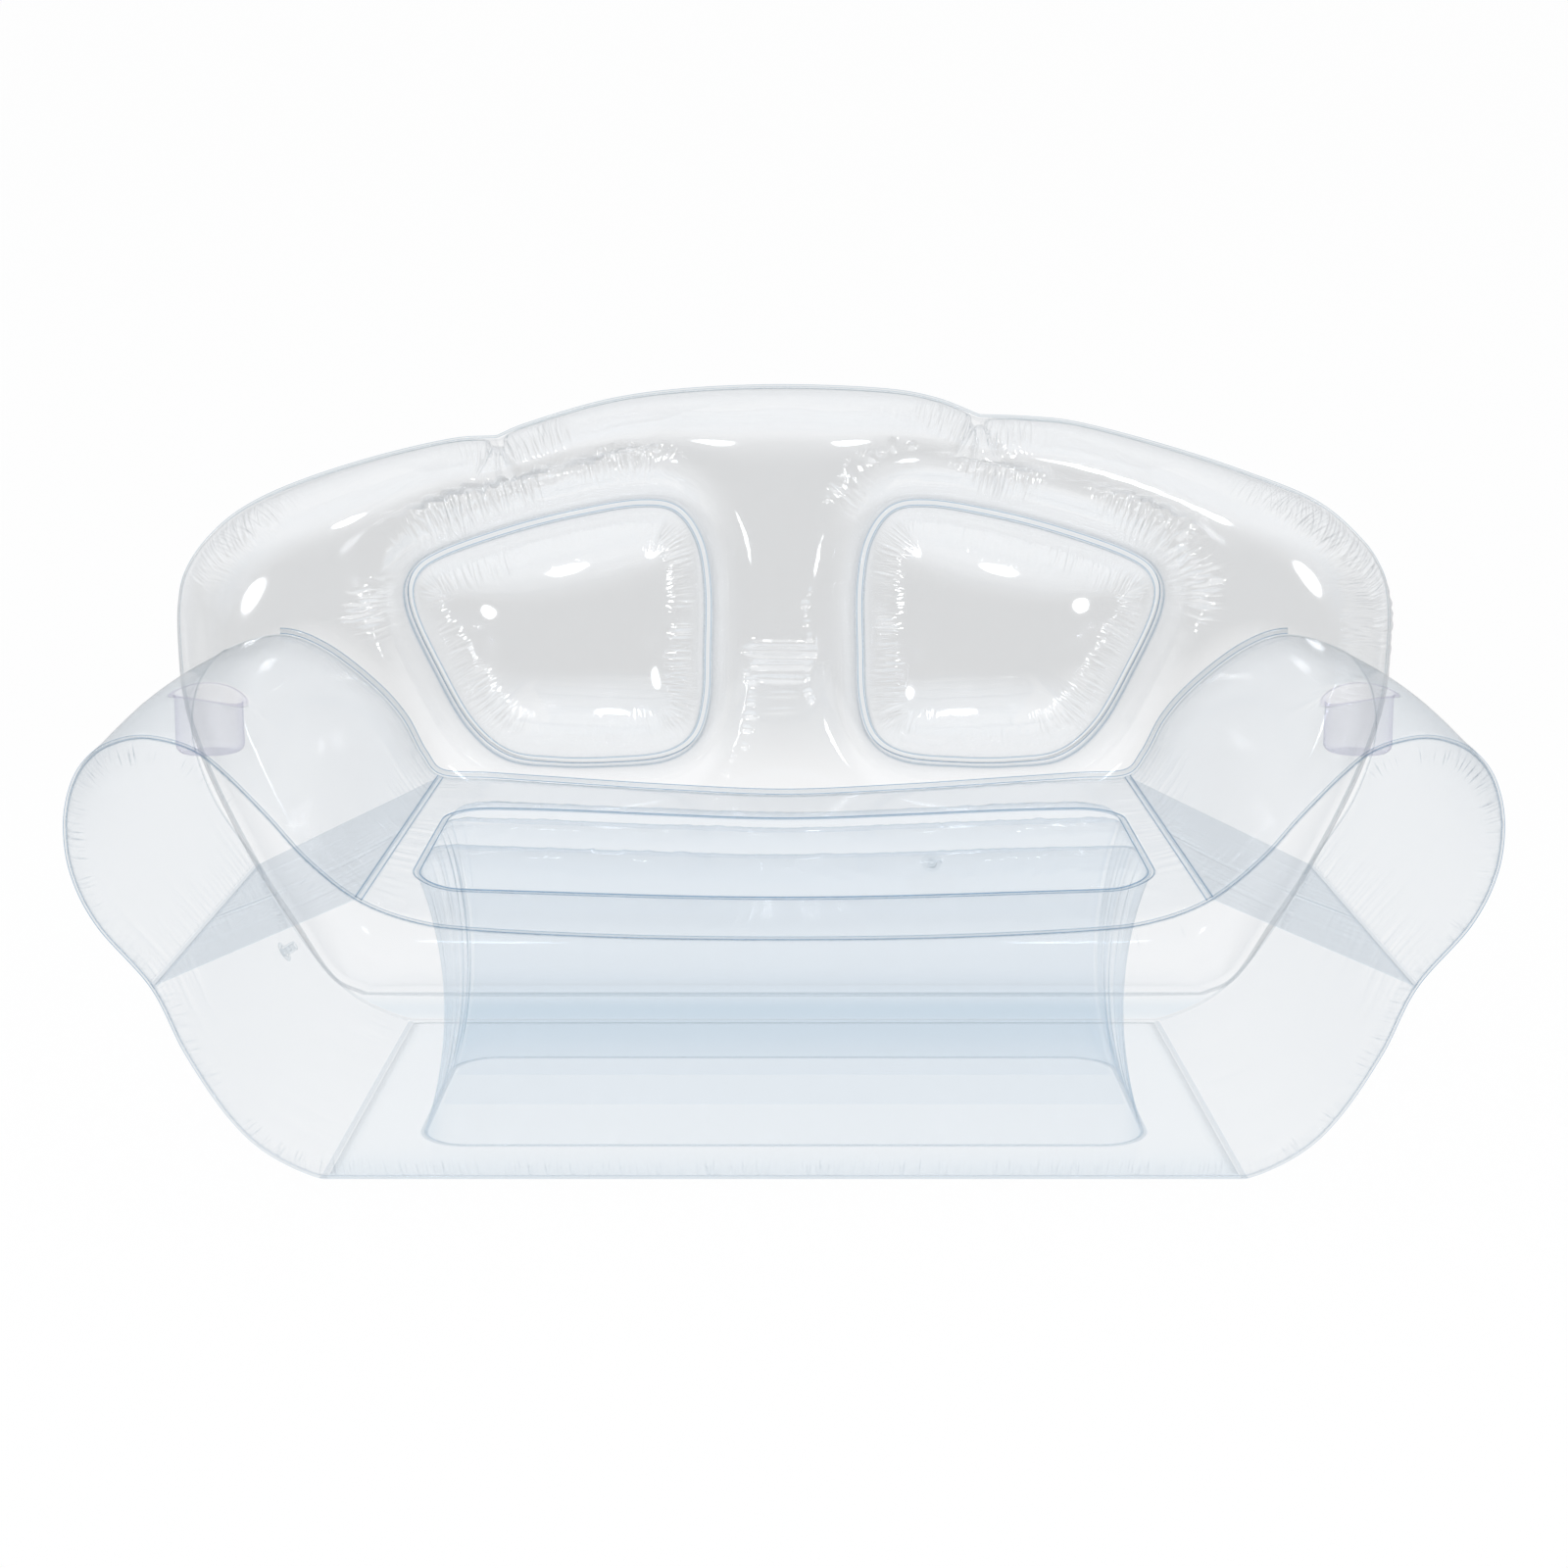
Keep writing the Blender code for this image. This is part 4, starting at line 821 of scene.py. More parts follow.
def film_material(
    name, clear, slanted, gloss, roughness=0.05, faint_below=None, least=0.0, gathers=0.0, with_painted_shade=False
):
    """Clear glossy film, tinted more where it is seen at a slant, under a clean reflection.

    It is painted lighter below a height, where one is given, and where a fade stored on the film says so:
    painted light that stands in for the white floor's reflection low down. It is painted darker where a
    painted shade stored on the film says so. The side turned away adds nothing, since the side turned to the
    eye carries the whole film.
    """
    nodes = Nodes(bpy.data.materials.new(name))
    normal = {}
    if gathers:
        normal = {"Normal": gather_bump(nodes, gathers)}
    slant = nodes.add("ShaderNodeLayerWeight", {"Blend": 0.5, **normal}).outputs["Facing"]
    cloudy = nodes.add("ShaderNodeTexNoise", {"Vector": nodes.place(), "Scale": 7.0, "Detail": 1.0})
    tint = nodes.colours(nodes.math("POWER", slant, 2.8), (*clear, 1), (*slanted, 1))
    share = nodes.math("ADD", nodes.math("MULTIPLY", nodes.math("POWER", slant, 5.0), 0.6), gloss)
    strength = None
    # Painted light: the film is made lighter and less glossy below a height, or where its stored fade says
    # so
    if faint_below:
        height = nodes.add("ShaderNodeSeparateXYZ", {0: nodes.place()}).outputs["Z"]
        strength = nodes.change(height, faint_below, (least, 1.0))
    elif gathers:
        normal_out = nodes.add("ShaderNodeNewGeometry", {}).outputs["Normal"]
        facing = nodes.add("ShaderNodeSeparateXYZ", {0: normal_out}).outputs["Y"]
        forward = nodes.change(facing, (-0.70, -0.15), (1.0, 0.0))
        strength = nodes.math("SUBTRACT", 1.0, nodes.math("MULTIPLY", nodes.stored("fade"), forward))
    if strength:
        tint = nodes.colours(strength, FAINT_TINT, tint)
        share = nodes.math("MULTIPLY", share, strength)
    # Painted shade: the film is darkened where its stored painted shade says so
    if with_painted_shade:
        tint = nodes.colours(nodes.stored("painted_shade"), tint, PAINTED_SHADE_TINT, blend="MULTIPLY")
    rough = nodes.math("MULTIPLY", cloudy.outputs["Fac"], roughness)
    mirror = nodes.shader("BsdfPrincipled", {
        "Base Color": (0.97, 0.98, 1.0, 1),
        "Metallic": 1.0,
        "Roughness": nodes.math("ADD", rough, roughness * 0.5),
        **normal,
    })
    through = nodes.shader("BsdfTransparent", {"Color": tint})
    near = nodes.shader("MixShader", {0: share, 1: through, 2: mirror})
    away = nodes.add("ShaderNodeNewGeometry", {}).outputs["Backfacing"]
    clear_side = nodes.shader("BsdfTransparent", {"Color": (1, 1, 1, 1)})
    return nodes.finish(nodes.shader("MixShader", {0: away, 1: near, 2: clear_side}))


# Fine gathers: how often they come along and away from a weld, and how deep they are
GATHER_SCALE = (110.0, 15.0, 1.0)
GATHER_DEPTH = 0.030

# What is seen through a film where it is painted lighter, and the painted shade laid over a film where it is
# painted darker
FAINT_TINT = (0.995, 0.996, 0.998, 1)
PAINTED_SHADE_TINT = (0.83, 0.885, 0.925, 1)

# Films and welds: colour seen through from straight ahead and at a slant, gloss, and what else differs
MATERIALS = {
    name: film_material(name, *look, **more)
    for name, look, more in (
        ("cool_film", ((0.984, 0.988, 0.991), (0.80, 0.845, 0.885), 0.022),
         {"roughness": 0.10, "gathers": GATHER_DEPTH}),
        ("blue_film", ((0.960, 0.974, 0.986), (0.84, 0.89, 0.935), 0.03), {}),
        ("grey_film", ((0.950, 0.956, 0.961), (0.82, 0.84, 0.86), 0.150), {"gathers": GATHER_DEPTH}),
        ("lilac_film", ((0.972, 0.968, 0.984), (0.80, 0.79, 0.88), 0.03), {}),
        # The welds are painted lighter below a height: painted light in place of the white floor's
        # reflection
        ("blue_weld", ((0.40, 0.54, 0.68), (0.32, 0.46, 0.60), 0.06),
         {"roughness": 0.12, "faint_below": (0.0, 0.26), "least": 0.35}),
        ("grey_weld", ((0.40, 0.53, 0.62), (0.32, 0.45, 0.54), 0.06),
         {"roughness": 0.12, "faint_below": (0.10, 0.42), "least": 0.10}),
        ("valve_plastic", ((0.945, 0.958, 0.967), (0.76, 0.81, 0.85), 0.04), {"roughness": 0.2}),
        ("blue_strip", ((0.84, 0.865, 0.885), (0.80, 0.85, 0.90), 0.05), {}),
        ("grey_strip", ((0.83, 0.85, 0.865), (0.78, 0.82, 0.86), 0.05), {}),
        ("lilac_strip", ((0.94, 0.94, 0.965), (0.76, 0.75, 0.85), 0.03), {}),
        ("inner_film", ((0.957, 0.971, 0.983), (0.84, 0.89, 0.93), 0.008),
         {"roughness": 0.2, "with_painted_shade": True}),
        ("panel_film", ((0.970, 0.975, 0.980), (0.50, 0.58, 0.66), 0.010),
         {"roughness": 0.25, "gathers": GATHER_DEPTH, "with_painted_shade": True}),
        ("web_film", ((0.895, 0.93, 0.955), (0.79, 0.84, 0.89), 0.03), {}),
        ("hidden_weld", ((0.92, 0.94, 0.96), (0.82, 0.86, 0.90), 0.02), {}),
    )
}


def map_gathers(mesh, faces, gathers):
    """Stores on a film how far along and away from its weld each place is, and how hard the weld pulls."""
    along, distance, length, pull = (np.broadcast_to(part, len(mesh.vertices)) for part in gathers)
    corners, span = along[faces], length[faces]
    wraps = (np.ptp(corners, axis=1) > 0.5)[:, None] & (corners < span / 2)
    corners = np.where(wraps, corners + span, corners)
    layer = mesh.uv_layers.new(name="gathers")
    layer.data.foreach_set("uv", np.stack([corners, distance[faces]], axis=2).ravel())
    store(mesh, "pull", pull.copy())


def linked(name, data):
    """A new object in the scene."""
    obj = bpy.data.objects.new(name, data)
    bpy.context.scene.collection.objects.link(obj)
    return obj


def store(mesh, name, values):
    """Stores a value at each point of a film."""
    mesh.attributes.new(name, "FLOAT", "POINT").data.foreach_set("value", values)


def add_piece(name, points, faces, slot, nodes, body="root", film=FILM, look=None, gathers=None, painted_shade=None):
    """A named piece that stands for some of the sofa's solids; an open sheet is given its thickness."""
    mesh = bpy.data.meshes.new(name)
    mesh.from_pydata(np.asarray(points).tolist(), [], [list(face) for face in faces])
    mesh.shade_smooth()
    mesh.materials.append(MATERIALS[look or slot])
    if gathers is not None:
        map_gathers(mesh, faces, gathers)
    if painted_shade is not None:
        store(mesh, "painted_shade", painted_shade)
    obj = linked(name, mesh)
    if film:
        sheet = obj.modifiers.new("Film", "SOLIDIFY")
        sheet.thickness = film
        sheet.offset = 0
    if body:
        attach(obj, body)
    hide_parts(*nodes)
    obj.visible_shadow = False
    return obj


# Across a weld: shares of its half width, and heights in bead radii. The tinted beads at both edges show
# as a double line, and the strip between them is clear.
WELD_PROFILE = (
    (-1.00, 0.00), (-0.97, 0.75), (-0.88, 1.00), (-0.78, 0.75), (-0.74, 0.32),
    (0.00, 0.28), (0.74, 0.32), (0.78, 0.75), (0.88, 1.00), (0.97, 0.75),
)
STRIP_FACES = (4, 5, 14, 15)
STRIP_LOOKS = {"blue_weld": "blue_strip", "grey_weld": "grey_strip", "lilac_film": "lilac_strip"}


def add_weld(name, low, high, slot, nodes, closed=True, bead=WELD_BEAD, look=None, strip=None):
    """A welded strip between two runs of points, thin in the middle and beaded at both edges."""
    middle, across = (low + high) / 2, (high - low) / 2
    if closed:
        along = np.roll(middle, -1, axis=0) - np.roll(middle, 1, axis=0)
    else:
        along = np.gradient(middle, axis=0)
    up = np.cross(along, across)
    up *= bead / np.linalg.norm(up, axis=1)[:, None]
    rim = [*WELD_PROFILE, (1.0, 0.0), *((-share, -rise) for share, rise in WELD_PROFILE[1:])]
    rings = np.stack([middle + across * share + up * rise for share, rise in rim], axis=1)
    points = rings.reshape(-1, 3)
    stations, around = rings.shape[:2]
    if closed:
        faces = (grid_faces(stations + 1, around, closed=True) % len(points)).tolist()
    else:
        faces = grid_faces(stations, around, closed=True).tolist()
        faces += [list(range(around))[::-1], list(range(len(points) - around, len(points)))]
    weld = add_piece(name, points, faces, slot, nodes, film=None, look=look)
    weld.data.materials.append(MATERIALS[strip or STRIP_LOOKS[slot]])
    for face in weld.data.polygons[:stations * around]:
        face.material_index = int(face.index % around in STRIP_FACES)


def weld_edges(loop, half, y):
    """Both edges of an upright weld along a loop."""
    return (upright(outset(loop, reach), y) for reach in (-half, half))


def add_base_seams():
    """The double lines where the base's panels meet its skins."""
    for name, section, y, look in (
        ("front_seam", FRONT, FRONT_SEAM_Y, "blue_weld"),
        ("rear_seam", REAR, REAR_SEAM_Y, "hidden_weld"),
    ):
        low, high = weld_edges(section.loop(), SEAM_RADIUS, y)
        add_weld(f"{name}_line", low, high, "blue_weld", [name], bead=SEAM_BEAD, look=look)


def add_base_panels():
    """The crowned front panel, gathered along its seam, and the flat rear panel, with a painted shade band
    along its foot.
    """
    for name, section, y, height, reach, gather, tug, shade_depth in (
        ("front_panel", FRONT, FRONT_SEAM_Y, FRONT_CROWN, FRONT_REACH, 0.0012, 0.5, 0.0),
        ("rear_panel", REAR, REAR_SEAM_Y, FILM / 2 - SEAM_RADIUS, 0.030, 0.0, 0.0, 0.8),
    ):
        outline = outset(section.loop(), -SEAM_REACH)
        length = length_of(outline)
        flat, faces = triangulate(outline)
        distance, along = nearest(flat, outline)
        stand = dome(soft_distance(flat, [outline], 0.018), height, reach)
        stand += puckers(distance, along, length, 11, gather, width=0.021)
        pull = tug * pull_of(distance, along, length, 12, 0.030)
        # Painted shade: a darker band along the rear panel's foot, just above the floor
        painted_shade = shade_depth * np.exp(-((flat[:, 1] - 0.016) / 0.020) ** 2)
        add_piece(f"{name}_sheet", upright(flat, y - stand), faces, "cool_film", [name], look="panel_film",
                  gathers=(along, distance, length, pull), painted_shade=painted_shade)


def add_seat():
    """The film round the seat insert and the ring weld that holds the insert in it."""
    edge = CREASE_X - STRIP_EDGE
    outline = rectangle((-edge, SKIN_FRONT_Y), (edge, SKIN_REAR_Y))
    hole = insert_loop(STRIP_EDGE)
    flat, faces = triangulate(outline, [hole])
    x, y = flat.T
    rise = puckers(y - SKIN_FRONT_Y, x + edge, 2 * edge, 21, SEAT_GATHER, 0.019)
    rise += puckers(SKIN_REAR_Y - y, x + edge, 2 * edge, 23, SEAT_GATHER, 0.019)
    rise += puckers(edge - np.abs(x), np.where(x > 0, y, y + 1), 2, 25, SEAT_GATHER, 0.022)
    distance, along = nearest(flat, hole)
    rise += puckers(distance, along, length_of(hole), 27, *INSERT_HOLE_GATHER)
    points, faces = pushed(lift(flat, seat_height(x, y)), faces, rise, (0, 0, 1))
    add_piece("seat_sheet", points, faces, "cool_film", ["seat_film"])
    low, high = (insert_loop(reach) for reach in (-STRIP_HALF, STRIP_HALF))
    low, high = (lift(loop, seat_height(*loop.T)) for loop in (low, high))
    add_weld("seat_ring_line", low, high, "blue_weld", ["seat_ring_weld"])


def insert_row(share):
    """Half width and place front to back of the insert's film at a share of its depth."""
    radius = INSERT_CORNER_RADIUS - STRIP_EDGE
    depth = INSERT_DEPTH - 2 * STRIP_EDGE
    corner = max(radius - min(share, 1 - share) * depth, 0)
    half = INSERT_WIDTH / 2 - STRIP_EDGE - radius + math.sqrt(radius**2 - corner**2)
    return half, FRONT_SEAM_Y + INSERT_FRONT_SETBACK + STRIP_EDGE + depth * share


def add_seat_insert():
    """Three channels side to side, gathered at the rib welds and at their ends."""
    welds = [0, *RIB_DEPTH_SHARES, 1]
    steps = slow_ends(CHANNEL_ROWS)
    even = np.linspace(-1, 1, INSERT_COLUMNS)
    columns = np.sin(math.pi / 2 * even) * 0.35 + even * 0.65
    rows = []
    for channel, (a, b) in enumerate(zip(welds, welds[1:])):
        for t in steps if b == 1 else steps[:-1]:
            share, depth = a + (b - a) * t, (b - a) * INSERT_DEPTH
            half, y = insert_row(share)
            x = half * columns
            end = np.clip((half - np.abs(x)) / CHANNEL_END_REACH, 0, 1)
            crown = CHANNEL_CROWN * math.sqrt(max(4 * t * (1 - t), 0)) * np.sqrt(1 - (1 - end) ** 2)
            for away, seed in ((t, 31), (1 - t, 35)):
                crown += puckers(away * depth, x + half, 2 * half, seed + channel, *CHANNEL_GATHER)
            crown += puckers(half - np.abs(x), share + (x > 0), 2, 39, *CHANNEL_END_GATHER)
            rows.append(np.column_stack([x, np.full(len(x), y), seat_height(x, y) + crown]))
    faces = grid_faces(len(rows), len(columns))
    insert = add_piece("seat_insert_pad", np.concatenate(rows), faces, "blue_film", ["seat_insert"])


def neck(share):
    """How far the baffle is drawn in at a share of its height."""
    return BAFFLE_NECK * (1 - (2 * share - 1) ** 2)


def add_seat_supports():
    """The necked box baffle under the seat ring, its floor weld, and the rib webs inside it."""
    weld_z = FILM + FIT_GAP + FLAT_BEAD
    low, high = (lift(insert_loop(reach), weld_z) for reach in (-STRIP_HALF, STRIP_HALF))
    add_weld("floor_ring_line", low, high, "blue_weld", ["floor_ring_weld"], bead=FLAT_BEAD,
             look="hidden_weld")
    foot = weld_z + FLAT_BEAD + FIT_GAP
    top = seat_height(*insert_loop(0).T) - FLAT_BEAD - FIT_GAP - FILM / 2
    shares = slow_ends(SUPPORT_ROWS)
    around = np.arange(RING_STEPS) / RING_STEPS
    rows = []
    for share in shares:
        wave = puckers(share * (top - foot), around, 1, 41, *BAFFLE_TOP_GATHER)
        wave += puckers((1 - share) * (top - foot), around, 1, 43, *BAFFLE_FOOT_GATHER)
        rows.append(lift(outset(insert_loop(-neck(share)), -wave), foot + (top - foot) * share))
    faces = grid_faces(len(rows), RING_STEPS, closed=True)
    wall = np.concatenate(rows)
    across, height = np.abs(wall[:, 0]), wall[:, 2]
    # Painted shade: the baffle is darker low on its rear side and along its side ends near the floor
    rearward = np.clip((wall[:, 1] - INSERT_Y) / 0.06, 0, 1)
    behind = rearward * np.exp(-((height - 0.050) / 0.050) ** 2)
    beside = np.exp(-((across - across.max()) / 0.020) ** 2) * np.clip((0.20 - height) / 0.15, 0, 1)
    add_piece("seat_baffle_sheet", wall, faces, "blue_film", ["seat_baffle"], look="inner_film",
              painted_shade=np.maximum(0.75 * behind, 0.5 * beside))
    columns = np.linspace(-1, 1, RIB_COLUMNS)
    floor = FILM + FIT_GAP
    for seed, name, rib in zip((51, 57), ("front_rib", "rear_rib"), RIB_DEPTH_SHARES):
        half, y = insert_row(rib)
        x = (half - 0.004) * columns
        rise = seat_height(x, y) - FILM / 2 - FIT_GAP - floor
        rows = []
        for share in shares:
            wave = puckers(share * rise, x + half, 2 * half, seed, *RIB_FOOT_GATHER)
            wave -= puckers((1 - share) * rise, x + half, 2 * half, seed + 2, *RIB_TOP_GATHER)
            rows.append(np.column_stack([x * (1 - neck(share) / half), y + wave, floor + rise * share]))
        faces = grid_faces(len(rows), len(columns))
        add_piece(f"{name}_sheet", np.concatenate(rows), faces, "blue_film", [f"{name}_web"],
                  look="inner_film")


def add_side_welds(side):
    """The crease, waist and floor strips, each a double line from the front seam to the rear seam."""
    back = np.linspace(0, 1, STRIP_STATIONS)
    y = SKIN_FRONT_Y + SKIN_DEPTH * back
    seat_x = np.full(len(back), CREASE_X - STRIP_HALF)
    on_seat = np.column_stack([seat_x, y, seat_height(seat_x, y)])
    inner, outer = (ARM_SKIN.at(abs(end - ARM_SKIN.share(STRIP_HALF)), back) for end in (0, 1))
    crease = [on_seat, inner]
    waist = [outer, SIDE_SKIN.at(SIDE_SKIN.share(STRIP_HALF), back)]
    foot = [
        np.column_stack([np.full(len(back), FLOOR_X + reach), y, np.full(len(back), FLAT_BEAD)])
        for reach in (STRIP_HALF, -STRIP_HALF)
    ]
    for name, (low, high), bead, look in (
        ("crease", crease, WELD_BEAD, "blue_weld"),
        ("waist", waist, WELD_BEAD, "hidden_weld"),
        ("floor", foot, FLAT_BEAD, "hidden_weld"),
    ):
        add_weld(f"{side}_{name}_line", sided(side, low), sided(side, high), "blue_weld",
                 [f"{side}_{name}_weld"], closed=False, bead=bead, look=look)


def add_arm_web(side):
    """The film inside the arm that holds crease and waist together, gathered at both."""
    across = np.linspace(0, 1, WEB_COLUMNS)
    rows = []
    for back in np.linspace(0, 1, WEB_ROWS):
        crease, waist = ARM_SKIN.at((0, 1), back)
        span = np.linalg.norm(waist - crease)
        clear = WEB_CLEARANCE / span
        shares = clear + (1 - 2 * clear) * across
        place = np.full(len(shares), back)
        sag = WEB_SAG * np.sin(math.pi * shares)
        for away, way, seed in ((shares, 1, 61), (1 - shares, -1, 63)):
            sag += way * puckers(away * span, place, 1, seed, *ARM_WEB_GATHER)
        points = crease + shares[:, None] * (waist - crease)
        points[:, 2] -= sag * math.sin(math.pi * back)
        rows.append(sided(side, points))
    faces = grid_faces(len(rows), len(across))
    add_piece(f"{side}_arm_web_sheet", np.concatenate(rows), faces, "grey_film", [f"{side}_arm_web"],
              look="web_film")


def cup_loop(radius):
    """A circle round the right cup holder on the floor plan, anticlockwise."""
    return ring_of(radius, (CUP_X, CUP_Y))


def on_arm(plan):
    """Plan points raised to the arm's film, with the shares along and back where they lie."""
    back = share_back(plan[:, 1])
    along = ARM_SKIN.share_at_x(plan[:, 0], back)
    return np.column_stack([plan, ARM_SKIN.at(along, back)[:, 2]]), along, back


def skin_gathers(skin, flat, seed, height):
    """Puckers along the four edges of a base skin."""
    u, v = flat.T
    rise = puckers(v, u, skin.length, seed, height, 0.017, 0.013)
    rise += puckers(SKIN_DEPTH - v, u, skin.length, seed + 2, height, 0.017, 0.013)
    rise += puckers(u, v, SKIN_DEPTH, seed + 4, height * 0.9, 0.021, 0.016)
    return rise + puckers(skin.length - u, v, SKIN_DEPTH, seed + 6, height * 0.9, 0.021, 0.016)


def from_arm(side, points):
    """Ways out from the middle of an arm to points round it."""
    way = sided(side, points) - ARM_MIDDLE
    way[:, 1] = 0
    return sided(side, way)


def add_arms():
    """The films over the arms, each with the cup holder's hole."""
    length = ARM_SKIN.length
    outline = rectangle((STRIP_EDGE, 0), (length - STRIP_EDGE, SKIN_DEPTH))
    _, along, back = on_arm(cup_loop(CUP_DIAMETER / 2 + CUP_RIM_WIDTH + FIT_GAP))
    hole = respaced(np.column_stack([along * length, back * SKIN_DEPTH]))
    flat, faces = triangulate(outline, [hole])
    distance, around = nearest(flat, hole)
    points = ARM_SKIN.at(flat[:, 0] / length, flat[:, 1] / SKIN_DEPTH)
    for seed, side in ((70, "left"), (80, "right")):
        rise = skin_gathers(ARM_SKIN, flat, seed, 0.0022)
        rise += puckers(distance, around, length_of(hole), seed + 8, *ARM_HOLE_GATHER)
        placed = sided(side, points)
        sheet, turned = pushed(placed, faces, rise, from_arm(side, placed))
        add_piece(f"{side}_arm_sheet", sheet, turned, "cool_film", [f"{side}_arm_film"])


def add_cup_holder(side):
    """A round well hung in the arm's top, with the weld round its mouth."""
    inner = CUP_DIAMETER / 2
    low, high = (sided(side, on_arm(cup_loop(r))[0]) for r in (inner, inner + CUP_RIM_WIDTH))
    add_weld(f"{side}_cup_rim_line", low, high, "lilac_film", [f"{side}_cup_rim_weld"])
    wall = inner + FILM / 2
    mouth = on_arm(cup_loop(wall))[0]
    mouth[:, 2] -= FLAT_BEAD + FIT_GAP + FILM
    bottom = mouth[:, 2].min() - CUP_DEPTH
    count = len(mouth)
    around = np.arange(count) / count
    rows = []
    for share in np.linspace(0, 1, WELL_ROWS):
        wave = puckers(share * CUP_DEPTH, around, 1, 91, *WELL_GATHER)
        ring = outset(mouth[:, :2], -wave)
        rows.append(lift(ring, mouth[:, 2] + (bottom + CUP_FILLET - mouth[:, 2]) * share))
    for turn in np.linspace(0, math.pi / 2, FILLET_ROWS)[1:]:
        radius = wall - CUP_FILLET * (1 - math.cos(turn))
        rows.append(lift(cup_loop(radius), bottom + CUP_FILLET * (1 - math.sin(turn))))
    rows += [lift(cup_loop(radius), bottom) for radius in (0.022, 0.016, 0.010, 0.005)]
    points = np.concatenate([*rows, [[CUP_X, CUP_Y, bottom]]])
    last = (len(rows) - 1) * count
    faces = grid_faces(len(rows), count, closed=True).tolist()
    faces += [[last + c, last + (c + 1) % count, len(points) - 1] for c in range(count)]
    add_piece(f"{side}_cup_well_sheet", sided(side, points), faces, "lilac_film", [f"{side}_cup_well"])


def add_sides():
    """The lower outer sides, from the waist down to the floor, with the base valve's hole on the left."""
    length = SIDE_SKIN.length
    outline = rectangle((STRIP_EDGE, 0), (length - STRIP_EDGE, SKIN_DEPTH))
    bore = ring_of(VALVE_HOLE_RADIUS, (BASE_VALVE_DROP, BASE_VALVE_Y))
    for seed, side, holes in ((100, "left", [bore]), (110, "right", [])):
        flat, faces = triangulate(outline, holes)
        points = sided(side, SIDE_SKIN.at(flat[:, 0] / length, flat[:, 1] / SKIN_DEPTH))
        rise = skin_gathers(SIDE_SKIN, flat, seed, 0.0018) * np.clip(points[:, 2] / 0.03, 0, 1)
        sheet, turned = pushed(points, faces, rise, from_arm(side, points))
        add_piece(f"{side}_side_sheet", sheet, turned, "cool_film", [f"{side}_side_film"])


def add_floor():
    """The flat film that the sofa rests on, painted darker along its front edge as painted shade."""
    edge = FLOOR_X - STRIP_EDGE
    columns = np.linspace(-edge, edge, FLOOR_COLUMNS)
    x, y = np.meshgrid(columns, np.linspace(SKIN_FRONT_Y, SKIN_REAR_Y, FLOOR_ROWS))
    points = np.column_stack([x.ravel(), y.ravel(), np.full(x.size, FILM / 2)])
    # Painted shade: darker along the floor film's front edge
    painted_shade = 0.5 * np.exp(-((points[:, 1] - SKIN_FRONT_Y) / 0.07) ** 2)
    faces = grid_faces(FLOOR_ROWS, FLOOR_COLUMNS)
    floor = add_piece("floor_sheet", points, faces, "blue_film", ["floor_film"], look="inner_film",
                      painted_shade=painted_shade)
    floor.visible_shadow = True


def beside_creases():
    """Places along the backrest's creases and in rows beside them, where its mesh has to be fine."""
    found = []
    for start, end, _, _ in BACK_FOLDS:
        a, b = np.array(start), np.array(end)
        found += [a * (1 - t) + b * t + (0, off) for t in np.linspace(-0.1, 1.1, 28) for off in FOLD_ROWS]
    for a, b, _, _ in STROKES:
        off = np.array([a[1] - b[1], b[0] - a[0]]) / np.linalg.norm(b - a)
        shares = np.linspace(-0.2, 1.2, 9)
        found += [a + (b - a) * t + off * row for t in shares for row in FOLD_ROWS[1:-1]]
    return np.array(found)


def faint_share(flat):
    """How much lighter the backrest's film is painted where it shows through the base, and low down as
    painted light in place of the white floor's reflection.
    """
    behind = is_inside(flat, REAR.loop())
    deep = np.clip(np.where(behind, nearest(flat, REAR.loop())[0], 0) / FAINT_EDGE, 0, 1)
    return FAINTEST * np.maximum(deep, smoothed((FAINT_HEIGHT - flat[:, 1]) / FAINT_FALL))


def back_gathers(flat, loops, places, seed):
    """Rise of the gathers at the backrest's seam and rings, and what the film stores of the nearest."""
    rise = np.zeros(len(flat))
    stored = []
    for index, ((distance, along), loop) in enumerate(zip(places, loops)):
        groups, gather, reach = GATHER_GROUPS, RING_GATHER, RING_PULL_REACH
        if index == 0:
            groups, gather, reach = SEAM_GROUPS, SEAM_GATHER, SEAM_PULL_REACH
        length, bunched = length_of(loop), grouped(flat, groups, LEAST_GATHER)
        fade = np.clip(1 - (distance / (3 * gather[-1])) ** 2, 0, 1) * bunched
        rise += fade * puckers(distance, along, length, seed + 3 * index, *gather)
        pull = pull_of(distance, along, length, seed + 3 * index + 1, reach)
        pull *= np.clip(bunched - LEAST_GATHER, 0, 1)
        stored.append([along + 10 * index, distance, np.full(len(flat), length), pull])
    near = np.argmin([distance for distance, _ in places], axis=0)
    return rise, np.array(stored)[near, :, np.arange(len(flat))].T


